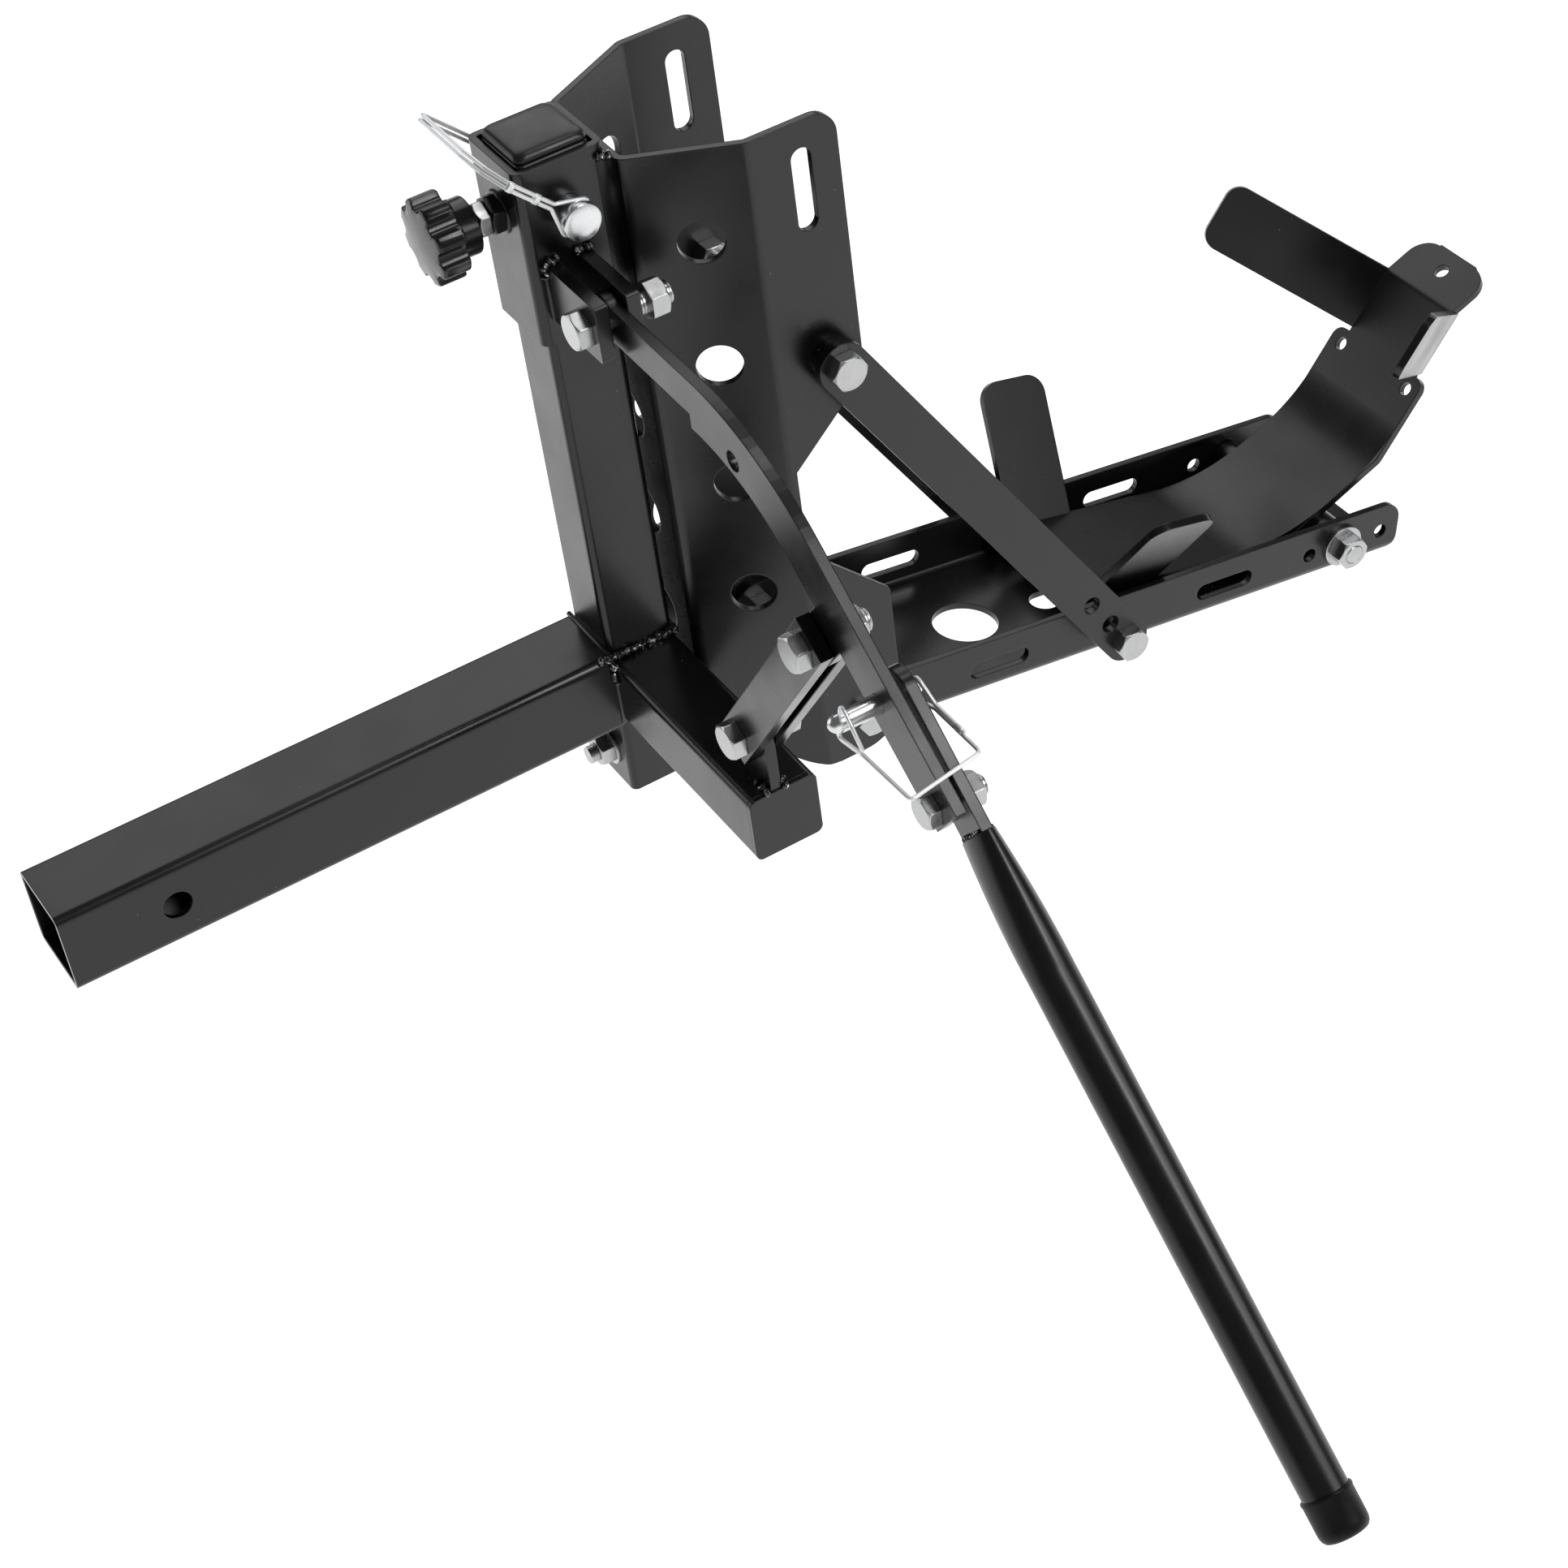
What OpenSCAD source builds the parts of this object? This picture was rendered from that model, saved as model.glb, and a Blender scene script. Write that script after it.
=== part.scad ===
// Hitch motorcycle carrier: a hitch bar with an upright post, a carriage that is levered
// up the post, a tilted wheel tray and a rocking wheel chock. Millimetres, +Z up, +X away
// from the vehicle. The origin is the centre of the hitch pin hole.

/* [Hitch bar and post] */
// Side of the square hitch bar
hitch_size = 50; // [38:0.5:64]
// Wall of the hitch bar
hitch_wall = 3; // [2:0.5:6]
// Diameter of the hitch pin hole
hitch_pin_d = 16.5; // [12:0.1:20]
// Distance from the hitch pin hole to the open end
hitch_tail = 62; // [40:1:90]
// Distance from the hitch pin hole to the post axis
post_x = 283; // [220:1:340]
// Side of the square post and of the cross tube
post_size = 40; // [30:0.5:50]
// Wall of the post and of the cross tube
post_wall = 3; // [2:0.5:5]
// Lower end of the post
post_bottom = -75; // [-110:1:-50]
// Upper end of the post, under its plug
post_top = 321; // [280:1:360]
// Reach of the cross tube from the post axis, with its end plate
cross_reach = 165; // [120:1:200]

/* [Carriage] */
// Wall of the sleeve
sleeve_wall = 4; // [2:0.5:6]
// Lower end of the sleeve
sleeve_bottom = 228; // [200:1:260]
// Upper end of the sleeve
sleeve_top = 327; // [300:1:360]
// Thickness of the bent back plate
plate_t = 4; // [3:0.5:6]
// Inside bend radius of the sheet parts
bend_r = 4; // [2:0.5:8]
// Top of the back plate
plate_top = 320; // [280:1:340]
// Bottom of the back plate
plate_bottom = -83; // [-110:1:-60]
// Half width of the web at its bends
web_half = 34.5; // [28:0.5:45]
// Half width over the outer panels
panel_half = 63.25; // [55:0.25:75]
// Where the outer panels bend off, from the post axis
panel_bend_x = 80.5; // [60:0.5:100]
// Front edge of the outer panels, from the post axis
panel_front_x = 131; // [110:1:150]
// Row of round holes in the flared panels, from the post axis
plate_hole_x = 56; // [48:0.5:64]
// Diameter of the round holes in the flared panels
plate_hole_d = 24.5; // [10:0.5:32]
// Top hole of the row, below the plate's top
plate_hole_drop = 52; // [40:1:60]
// Step from hole to hole in the row
plate_hole_step = 73.7; // [50:0.1:80]
// Strap slot, below the plate's top
strap_drop = 38.5; // [34:0.5:45]
// Strap slot, back from the panel's front edge
strap_in = 21.5; // [18:0.5:26]
// Length of the strap slots
strap_len = 47; // [30:1:55]
// Width of the strap slots
strap_w = 11.5; // [8:0.5:14]

/* [Tray] */
// Sheet thickness of the tray
tray_t = 4; // [3:0.5:5]
// Height of the tray flanges
tray_h = 35; // [28:0.5:45]
// Tilt of the tray below level
tray_drop = 8.87; // [0:0.01:15]
// Tray hinge bolt, from the post axis
tray_hinge_x = 109; // [95:0.5:120]
// Tray hinge bolt height
tray_hinge_z = -59; // [-70:0.5:-45]
// Length of the tray beyond its hinge bolts
tray_len = 379; // [360:1:420]
// Chock axle, back from the tray's far end
axle_in = 43; // [36:0.5:50]
// Large hole in the tray floor
floor_hole_d = 39; // [20:1:50]

/* [Braces] */
// Width of a brace bar
brace_w = 28; // [22:0.5:36]
// Thickness of a brace bar
brace_t = 5; // [3:0.5:8]
// Stand-off of a brace from the outer panel
brace_gap = 8; // [4:0.5:12]
// Upper brace bolt, from the post axis
brace_top_x = 112; // [100:0.5:118]
// Upper brace bolt height
brace_top_z = 181; // [174:0.5:215]
// Lower brace bolt, along the tray from the hinge bolts
brace_low_s = 166.5; // [150:0.5:180]

/* [Lever linkage] */
// Thickness of the lever and of the link tab
lever_t = 6; // [5:0.5:8]
// Thickness of the lugs and of the link plates
lug_t = 7.5; // [5:0.5:9]
// Play beside the lever, each side
lever_play = 0.5; // [0.3:0.1:1]
// Width of the lever's bar
lever_w = 21; // [18:0.5:24]
// Width that the rib under the lever adds
rib_w = 8.5; // [5:0.5:12]
// Middle of the lever's thickness, from the post axis
lever_x = -3; // [-5:0.1:0]
// Gap between the front lug and the lever
lug_gap = 3.6; // [2:0.1:5]
// Bare thread between the rear lug and its nut
nut_gap = 8.3; // [2:0.1:12]
// Height of the two lugs
lug_h = 32; // [26:0.5:40]
// Rise of the lugs' middle above the lever pivot
lug_lift = 1.5; // [0:0.1:3]
// Reach of the lugs beyond the lever pivot
lug_end = 14.5; // [11:0.5:18]
// Lever pivot on the sleeve: reach from the post axis
pivot_a_u = 59.5; // [54:0.5:64]
// Lever pivot height
pivot_a_z = 256; // [250:0.5:262]
// Link pivot on the cross tube: reach
pivot_b_u = 152; // [146:0.5:156]
// Link pivot on the cross tube: height
pivot_b_z = 54; // [48:0.5:60]
// Link pivot on the lever: reach
pivot_c_u = 236.5; // [232:0.5:242]
// Link pivot on the lever: height
pivot_c_z = 167.5; // [162:0.5:172]
// Fall of the lever's inner straight
lever_fall_in = 1.5; // [0:0.1:10]
// Fall of the lever's outer straight
lever_fall_out = 39; // [32:0.1:42]
// Bend radius on the lever's centre line
lever_bend_r = 150; // [110:1:165]
// Middle of the lever's bar above the links' upper pivot
lever_rise = 50; // [46:0.5:54]
// Length of the lever beyond the handle bolt
lever_tip = 10; // [8:0.5:14]
// Radial room for the upper link bolt in the lever
link_room = 1.8; // [1.5:0.05:2.5]
// Width of the two links
link_w = 24.5; // [20:0.5:30]
// Length of a link beyond its holes
link_end = 12.5; // [10:0.5:16]

/* [Handle] */
// Handle bolt, outwards from the links' upper pivot
handle_out = 93.5; // [86:0.5:104]
// Handle bolt, below the middle of the lever's bar
handle_low = 11.8; // [8:0.1:15]
// Gap between the lever and the handle's tongue
handle_gap = 4.5; // [1:0.1:6]
// Fall of the handle below level
handle_fall = 41.3; // [38:0.1:45]
// Tongue thickness
tongue_t = 6; // [5:0.5:8]
// Tongue width
tongue_w = 26; // [22:0.5:28]
// Distance from the handle bolt up to the lock pin
tongue_pin_s = 54; // [48:0.5:60]
// Handle tube diameter
handle_d = 23.5; // [20:0.5:28]
// Handle tube wall
handle_wall = 2; // [1.5:0.25:3]
// End of the handle tube, from the handle bolt
handle_len = 372; // [300:1:420]
// Length of the flattened tube end
flat_len = 52; // [40:1:70]

/* [Chock] */
// Thickness of the chock sheet
chock_t = 4.5; // [3:0.5:6]
// Half width of the chock sheet
chock_half = 40.5; // [36:0.5:44]
// Front panel length
chock_front = 143; // [130:1:150]
// Rear panel length
chock_rear = 78; // [70:1:90]
// Upper panel length
chock_upper = 96; // [85:1:110]
// Top tongue length
chock_top = 30; // [22:1:40]
// Slope of the rear panel above level
rear_slope = 21.6; // [15:0.1:28]
// Fall of the front panel below level
front_fall = 13.7; // [9.5:0.1:15]
// Slope of the upper panel above level
upper_slope = 48; // [42:0.1:55]
// Slope of the top tongue above level
top_slope = 20.7; // [10:0.1:30]
// Length of the upper side flags
flag_len = 110; // [90:1:130]
// Width of the upper side flags
flag_w = 41; // [32:0.5:44]
// Bend of the upper flags out of the panel
flag_bend = 56.5; // [30:0.5:60]
// Length of the lower side flags
low_flag_len = 88; // [70:1:100]
// Width of the lower side flags
low_flag_w = 44; // [34:0.5:50]
// Lean of the lower flags from upright
low_flag_lean = 34; // [20:1:45]

/* [Knob and pins] */
// Height of the clamp knob axis
knob_z = 296; // [285:0.5:305]
// Star knob diameter
knob_d = 45; // [36:0.5:52]
// Number of knob lobes
knob_lobes = 8; // [5:1:10]
// Lock pin diameter
lock_pin_d = 16; // [12:0.5:16]
// Height of the lock pin
lock_pin_z = 299; // [292:0.5:305]
// Handle pin diameter
handle_pin_d = 10; // [8:0.5:10]
// Wire diameter of the pin bails
wire_d = 3; // [2:0.1:4]
// Rise of the upper bail above level
bail_rise = 44.3; // [35:0.1:60]
// Fall of the handle pin's bail below level
pin_bail_fall = 15; // [8:0.1:18]

/* [Fits] */
// Radial running clearance of pins and pivots
run_gap = 0.05; // [0.02:0.01:0.1]
// Radial clearance of bolt holes
bolt_gap = 0.5; // [0.3:0.05:1]
// Room between the post and the sleeve, on each side
slide_gap = 1; // [0.5:0.1:2]
// Bolt diameter of the main pivots
bolt_d = 12; // [10:0.5:12]

/* [Hidden] */
$fn = 48;
eps = 0.01;
plug_h = 6;
plug_dome = 3.5;
end_t = 3;
big = 400;
post_half = post_size / 2;
sleeve_size = post_size + 2 * (slide_gap + sleeve_wall);
sleeve_half = sleeve_size / 2;
bolt_r = bolt_d / 2;
head_h = 8;
nut_h = 10;
hex_af = 18.5;
hex_r = hex_af / sqrt(3);
tail = 4;
flush_tail = 0.5;
drill = 40;
guide_z = post_bottom + 21;
knob_bore = 10;
plate_h = plate_top - plate_bottom;
foot_x = 91.5;
foot_r = 40;
foot_in = 48;
foot_top = -60;
web_hole_z = [24, 90, 153];
web_hole_d = 30;
bend_out = bend_r + plate_t;
flare = atan2(panel_half - web_half, panel_bend_x - sleeve_half);
flare_len = norm([panel_half - web_half, panel_bend_x - sleeve_half]);
web_turn = 90 - flare;
plate_hole_y = web_half + (plate_hole_x - sleeve_half) * tan(flare);
web_cut = bend_out * tan(web_turn / 2);
panel_cut = bend_out * tan(flare / 2);
panel_run = panel_front_x - panel_bend_x - panel_cut;
flare_run = flare_len - web_cut - panel_cut;
web_run = 2 * (web_half - web_cut);
panel_in = panel_half - plate_t;
tray_half = panel_in;
inner_slot_s = 90;
outer_slot_in = 130;
tray_slot_len = 40;
tray_slot_w = 10.5;
end_hole_in = [67, 13.5];
floor_hole_s = 107;
floor_slot_s = 166;
brace_in = panel_half + brace_gap;
brace_out = brace_in + brace_t;
brace_low_x = tray_hinge_x + brace_low_s * cos(tray_drop);
brace_low_z = tray_hinge_z - brace_low_s * sin(tray_drop);
brace_len = norm([brace_low_x - brace_top_x, brace_low_z - brace_top_z]);
brace_fall = atan2(brace_top_z - brace_low_z, brace_low_x - brace_top_x);
axle_s = tray_len - axle_in;
axle_x = tray_hinge_x + axle_s * cos(tray_drop);
axle_z = tray_hinge_z - axle_s * sin(tray_drop);
lug_in = lever_t / 2 + lever_play;
lug_out = lug_in + lug_t;
lever_near = lever_x - lever_t / 2;
lever_far = lever_x + lever_t / 2;
front_lug = lever_near - lug_gap - lug_t;
handle_u = pivot_c_u + handle_out;
handle_x = lever_far + handle_gap + tongue_t / 2;
tongue_out = handle_x + tongue_t / 2;
tongue_tail = flat_len + 14;
tube_start = 20;
flat_t = tongue_t + 2 * handle_wall;
lever_bend = lever_fall_out - lever_fall_in;
slope_in = tan(lever_fall_in);
slope_out = tan(lever_fall_out);
lever_z = pivot_c_z + lever_rise;
handle_z = lever_z - slope_out * handle_out - handle_low;
pin_u = handle_u - tongue_pin_s * cos(handle_fall);
pin_z = handle_z + tongue_pin_s * sin(handle_fall);
knee_u = (lever_z - pivot_a_z + slope_out * pivot_c_u - slope_in * pivot_a_u) / (slope_out - slope_in);
knee_z = pivot_a_z - slope_in * (knee_u - pivot_a_u);
bend_cut = lever_bend_r * tan(lever_bend / 2);
inner_run = norm([knee_u - pivot_a_u, knee_z - pivot_a_z]) - bend_cut;
outer_run = handle_out / cos(lever_fall_out) + (pivot_c_u - knee_u) / cos(lever_fall_out) - bend_cut
    + handle_low * sin(lever_fall_out) + lever_tip;
lever_eye = 13;
rib_lead = 4;
crook_r = 12.5;
tab_r = 12;
spare_hole_d = 11;
handle_bolt_d = 10;
handle_hole_d = handle_bolt_d + 0.6;
handle_head = 7;
handle_nut_h = 8;
handle_af = 16;
chock_seat = 14.5;
chock_tube_d = 21;
chock_tube_half = tray_half - tray_t - 0.85;
chock_low_s = 26.5;
tab_s = chock_upper - flag_w - 3;
neck_half = 30;
flag_root = 2;
hub_in = 16.5;
hub_r = 15;
disc_in = 27.4;
disc_out = 42.3;
lock_r = lock_pin_d / 2;
pin_in = sleeve_half - sleeve_wall + 0.4;
wire_r = wire_d / 2;
bail_reach = 58;
bail_half = sleeve_half + 11;
pin_reach = sleeve_half + 15;
eye_half = 12;
pin_bail_reach = 52;
near_eye_x = -26;
far_eye_x = 25;
link_len = norm([pivot_c_u - pivot_b_u, pivot_c_z - pivot_b_z]);
strand = wire_r + 0.2;
crimp_r = strand + wire_r + 0.6;
crimp_len = 3;
black = [0.05, 0.05, 0.055];
zinc = [0.75, 0.76, 0.78];
plastic = [0.03, 0.03, 0.03];

// Shared shapes
module at_post(x = 0, y = 0, z = 0) translate([post_x + x, y, z]) children();

module at_tray() at_post(tray_hinge_x, 0, tray_hinge_z) rotate([0, tray_drop, 0]) children();

module at_handle() at_post(handle_x, -handle_u, handle_z) rotate([90 + handle_fall, 0, 0]) children();

// Side profile drawn in reach and height, given a thickness along X
module side_plate(x0, x1) at_post((x0 + x1) / 2) rotate([90, 0, -90])
    linear_extrude(x1 - x0, center = true) children();

// Profile drawn in X and Z, cut right across the carrier
module across(w = big) rotate([90, 0, 0]) linear_extrude(w, center = true) children();

module round_square(w, h, r) {
    square([w, h - 2 * r], center = true);
    square([w - 2 * r, h], center = true);
    for (i = [-1, 1], j = [-1, 1])
        translate([i * (w / 2 - r), j * (h / 2 - r)]) circle(r);
}

module tube_section(w, t, r) difference() {
    round_square(w, w, r);
    round_square(w - 2 * t, w - 2 * t, max(r - t, 0.8));
}

module bar(len, w, r) {
    translate([0, -w / 2]) square([len, w]);
    circle(r);
    translate([len, 0]) circle(r);
}

module slot(len, w) {
    square([len - w, w], center = true);
    for (i = [-1, 1]) translate([i * (len - w) / 2, 0]) circle(w / 2);
}

// Waste left outside a rounded corner whose tip points along +x and +y
module corner_waste(r) difference() {
    translate([-r, -r]) square(r + 5);
    translate([-r, -r]) circle(r);
}

module along_x(x) translate([x, 0, 0]) rotate([0, 90, 0]) children();

module along_y(y) translate([0, y, 0]) rotate([-90, 0, 0]) children();

module hex(h, r = hex_r) cylinder(h = h, r = r, $fn = 6);

// Bolt standing on its head face: head below zero, shank above
module bolt(len, d, af, head) {
    translate([0, 0, -head]) intersection() {
        hex(head, af / sqrt(3));
        rotate_extrude()
            polygon([[0, 0], [af / 2 - 0.3, 0], [af / 2 + 1.3, 1.2], [af / 2 + 1.3, head], [0, head]]);
    }
    cylinder(h = len - 0.8, d = d);
    translate([0, 0, len - 0.8 - eps]) cylinder(h = 0.8, d1 = d, d2 = d - 1.6);
}

module nut(h, d, af) difference() {
    intersection() {
        hex(h, af / sqrt(3));
        rotate_extrude()
            polygon([[0, 0], [af / 2 + 1.3, 0], [af / 2 + 1.3, h - 1.2], [af / 2 - 0.3, h], [0, h]]);
    }
    translate([0, 0, -1]) cylinder(h = h + 2, d = d);
}

module ring(h, d_out, d_in) difference() {
    cylinder(h = h, d = d_out);
    translate([0, 0, -1]) cylinder(h = h + 2, d = d_in);
}

// Wire swept along points, with eased corners and mitred rings
function unit(v) = v / norm(v);

function eased(p, i, r) = i == 0 || i == len(p) - 1 ? [p[i]] :
    [for (t = [0:0.5:1]) p[i] + (1 - t) ^ 2 * r * unit(p[i - 1] - p[i])
        + t ^ 2 * r * unit(p[i + 1] - p[i])];

function heading(p, i) = unit(p[i + 1] - p[i]);

function mitre(p, i) = i == len(p) - 1 ? heading(p, i - 1) : unit(heading(p, i - 1) + heading(p, i));

function carried(q, p, i) = [for (v = q) v + heading(p, i - 1) * ((p[i] - v) * mitre(p, i))
    / (heading(p, i - 1) * mitre(p, i))];

function rings(p, q, i = 1) = i == len(p) ? [q] : concat([q], rings(p, carried(q, p, i), i + 1));

module wire(points, ease = 3.5, n = 8) {
    p = [for (i = [0:len(points) - 1]) each eased(points, i, ease)];
    d = heading(p, 0);
    s = unit(cross(d, abs(d[2]) < 0.9 ? [0, 0, 1] : [1, 0, 0]));
    t = cross(d, s);
    first = [for (k = [0:n - 1]) p[0] + wire_r * (cos(360 * k / n) * s + sin(360 * k / n) * t)];
    last = (len(p) - 1) * n;
    polyhedron([for (q = rings(p, first)) each q], concat(
        [[for (k = [0:n - 1]) k]],
        [[for (k = [0:n - 1]) last + n - 1 - k]],
        [for (i = [0:len(p) - 2], k = [0:n - 1]) [i * n + k, (i + 1) * n + k, (i + 1) * n + (k + 1) % n]],
        [for (i = [0:len(p) - 2], k = [0:n - 1])
            [i * n + k, (i + 1) * n + (k + 1) % n, i * n + (k + 1) % n]]));
}

// Sheet with bends, walked along its outer face: straights of the given lengths with a turn
// after each but the last. Each step is a pair of points, one on either face.
function bend_steps(c, a, turn, t, r, parts) = [for (k = [0:parts - 1])
    let(e = a + turn * k / parts, n = [-sin(e), cos(e)])
    turn > 0 ? [c - (t + r) * n, c - r * n] : [c + r * n, c + (t + r) * n]];

function sheet_steps(p, a, runs, turns, t, r, parts, i = 0) =
    let(n = [-sin(a), cos(a)], q = p + runs[i] * [cos(a), sin(a)])
    i == len(turns) ? [[p, p + t * n], [q, q + t * n]] :
    let(c = turns[i] > 0 ? q + (t + r) * n : q - r * n, b = a + turns[i])
    concat([[p, p + t * n]], bend_steps(c, a, turns[i], t, r, parts), sheet_steps(
        c + (turns[i] > 0 ? -t - r : r) * [-sin(b), cos(b)], b, runs, turns, t, r, parts, i + 1));

module bent_sheet(p, a, runs, turns, t, r, parts = 8) {
    steps = sheet_steps(p, a, runs, turns, t, r, parts);
    polygon(concat([for (s = steps) s[0]], [for (i = [len(steps) - 1:-1:0]) steps[i][1]]));
}

// Hitch bar, post and cross tube
module hitch_bar() color(black) difference() {
    translate([-hitch_tail, 0, 0]) rotate([90, 0, 90])
        linear_extrude(hitch_tail + post_x - post_half) tube_section(hitch_size, hitch_wall, 5);
    along_y(-hitch_size) cylinder(h = 2 * hitch_size, d = hitch_pin_d);
}

module post() color(black) difference() {
    at_post(0, 0, post_bottom) linear_extrude(post_top - post_bottom) tube_section(post_size, post_wall, 4);
    at_post(0, 0, lock_pin_z) along_y(-post_size) cylinder(h = 2 * post_size, r = lock_r + 0.3);
    at_post(0, 0, guide_z) along_x(-post_size) cylinder(h = 2 * post_size, d = 11);
}

module post_cap() color(plastic) at_post(0, 0, post_top) {
    translate([0, 0, -16]) linear_extrude(16 + eps) tube_section(post_size - 2 * post_wall, 2.5, 2);
    linear_extrude(plug_h) round_square(post_size, post_size, 4);
    translate([0, 0, plug_h - eps]) hull() {
        linear_extrude(1.5) round_square(post_size - 2, post_size - 2, 5, $fn = 32);
        linear_extrude(plug_dome) round_square(post_size - 11, post_size - 11, 5, $fn = 32);
    }
}

module cross_tube() color(black) at_post(0, -post_half, 0) rotate([90, 0, 0])
    linear_extrude(cross_reach - post_half - end_t) tube_section(post_size, post_wall, 4);

module cross_tube_end() color(black) at_post(0, end_t - cross_reach, 0) rotate([90, 0, 0])
    linear_extrude(end_t) round_square(post_size, post_size, 4);

module link_tab() color(black) difference() {
    side_plate(lever_near, lever_far) {
        translate([pivot_b_u, pivot_b_z]) circle(tab_r);
        translate([pivot_b_u - tab_r, post_half]) square([2 * tab_r, pivot_b_z - post_half]);
    }
    pivot_hole(pivot_b_u, pivot_b_z, bolt_r + run_gap);
}

module guide_bolt() color(zinc) at_post(0, 0, guide_z) {
    along_x(post_half) cylinder(h = 4, d = 22);
    along_x(-post_half - 15) cylinder(h = 2 * post_half + 15 + eps, d = 10);
}

module guide_washer() color(zinc) at_post(0, 0, guide_z) along_x(-post_half - 2) ring(2, 22, 10);

module guide_nut() color(zinc) at_post(-post_half - 2, 0, guide_z)
    rotate([0, -90, 0]) nut(8, 10, 16);

// Carriage
module sleeve() color(black) difference() {
    at_post(0, 0, sleeve_bottom) linear_extrude(sleeve_top - sleeve_bottom)
        tube_section(sleeve_size, sleeve_wall, 5);
    at_post(0, 0, lock_pin_z) along_y(-sleeve_size) cylinder(h = 2 * sleeve_size, r = lock_r + run_gap);
    at_post(0, 0, knob_z) along_x(-sleeve_size) cylinder(h = sleeve_size, r = knob_bore / 2 + run_gap);
}

// Hole along X at a reach and height, and a bolt and a nut in it
module pivot_hole(u, z, r) at_post(0, -u, z) along_x(-drill) cylinder(h = 2 * drill, r = r);

module cross_bolt(u, z, head_x, nut_x) at_post(head_x, -u, z) rotate([0, 90, 0])
    bolt(nut_x - head_x + nut_h + tail, bolt_d, hex_af, head_h);

module cross_nut(u, z, nut_x) at_post(nut_x, -u, z) rotate([0, 90, 0]) nut(nut_h, bolt_d, hex_af);

module lever_lug(x) difference() {
    side_plate(x, x + lug_t) translate([(sleeve_half + pivot_a_u + lug_end) / 2, pivot_a_z + lug_lift])
        round_square(pivot_a_u + lug_end - sleeve_half, lug_h, 1.5);
    pivot_hole(pivot_a_u, pivot_a_z, bolt_r + bolt_gap);
}

module lever_lug_front() color(black) lever_lug(front_lug);

module lever_lug_rear() color(black) lever_lug(lever_x + lug_in);

module plate_cuts() {
    across() polygon([[panel_front_x + 9, brace_top_z - 11], [panel_bend_x + 4, 120],
        [panel_bend_x + 4, 66],
        [panel_front_x + 9, 10]]);
    translate([panel_front_x, 0, plate_top]) across() corner_waste(14);
    translate([panel_front_x, 0, plate_bottom]) mirror([0, 0, 1]) across() corner_waste(26);
    across() polygon(concat([[0, plate_bottom - 9], [foot_x, plate_bottom - 9]],
        [for (a = [265:-5:235]) [foot_x, plate_bottom + foot_r] + foot_r * [cos(a), sin(a)]],
        [[foot_in, foot_top], [0, foot_top]]));
    translate([panel_front_x - strap_in, 0, plate_top - strap_drop]) rotate([0, 90, 0]) across()
        slot(strap_len, strap_w);
    translate([brace_top_x, 0, brace_top_z]) along_y(-big / 2) cylinder(h = big, r = bolt_r + bolt_gap);
    translate([tray_hinge_x, 0, tray_hinge_z]) along_y(-big / 2) cylinder(h = big, r = bolt_r + bolt_gap);
    for (z = web_hole_z) translate([0, 0, z]) along_x(sleeve_half - 5) cylinder(h = 15, d = web_hole_d);
    for (i = [0:3], s = [-1, 1])
        translate([plate_hole_x, s * plate_hole_y, plate_top - plate_hole_drop - plate_hole_step * i])
        rotate([0, 0, s * flare])
        along_y(-15) cylinder(h = 30, d = plate_hole_d);
}

module back_plate() color(black) at_post() difference() {
    translate([0, 0, plate_bottom]) linear_extrude(plate_h)
        bent_sheet([panel_front_x, panel_half], 180, [panel_run, flare_run, web_run, flare_run, panel_run],
            [flare, web_turn, web_turn, flare], plate_t, bend_r);
    plate_cuts();
}

module tray_block(half, r) {
    translate([-half, r]) square([2 * half, tray_h + 10]);
    translate([r - half, 0]) square([2 * half - 2 * r, r + eps]);
    for (i = [-1, 1]) translate([i * (half - r), r]) circle(r);
}

module tray() color(black) at_tray() difference() {
    intersection() {
        translate([-20, 0, -tray_h / 2]) rotate([90, 0, 90]) linear_extrude(tray_len + 40) difference() {
            tray_block(tray_half, bend_r + tray_t);
            translate([0, tray_t]) tray_block(tray_half - tray_t, bend_r);
        }
        across() {
            circle(tray_h / 2);
            translate([0, -tray_h / 2]) square([tray_len - 12, tray_h]);
            translate([tray_len - 40, 0]) round_square(80, tray_h, 12);
        }
    }
    for (s = [inner_slot_s, tray_len - outer_slot_in])
        translate([s, 0, 0]) across() slot(tray_slot_len, tray_slot_w);
    for (s = end_hole_in) translate([tray_len - s, 0, 0]) along_y(-big / 2) cylinder(h = big, d = 9);
    for (s = [0, brace_low_s, axle_s])
        translate([s, 0, 0]) along_y(-big / 2) cylinder(h = big, r = bolt_r + bolt_gap);
    translate([floor_hole_s, 0, -tray_h]) cylinder(h = tray_h, d = floor_hole_d);
    translate([floor_slot_s, -4, -tray_h]) linear_extrude(tray_h) slot(6, 18);
}

module brace(side) at_post(brace_top_x, side * (brace_in + brace_t / 2), brace_top_z)
    rotate([0, brace_fall, 0]) difference() {
        across(brace_t) bar(brace_len, brace_w, brace_w / 2);
        for (s = [0, brace_len])
            translate([s, 0, 0]) along_y(-drill / 2) cylinder(h = drill, r = bolt_r + bolt_gap);
        for (s = [20, 43])
            translate([brace_len - s, 0, 0]) along_y(-drill / 2) cylinder(h = drill, d = 11);
    }

module brace_near() color(black) brace(-1);

module brace_far() color(black) brace(1);

// Puts a piece at the upper and lower brace bolts of both sides, pointing outwards along Z
module each_brace_bolt(upper, lower) for (s = [-1, 1]) mirror([0, s > 0 ? 1 : 0, 0]) {
    at_post(brace_top_x, -upper, brace_top_z) rotate([90, 0, 0]) children(0);
    at_post(brace_low_x, -lower, brace_low_z) rotate([90, 0, 0]) children(1);
}

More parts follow.
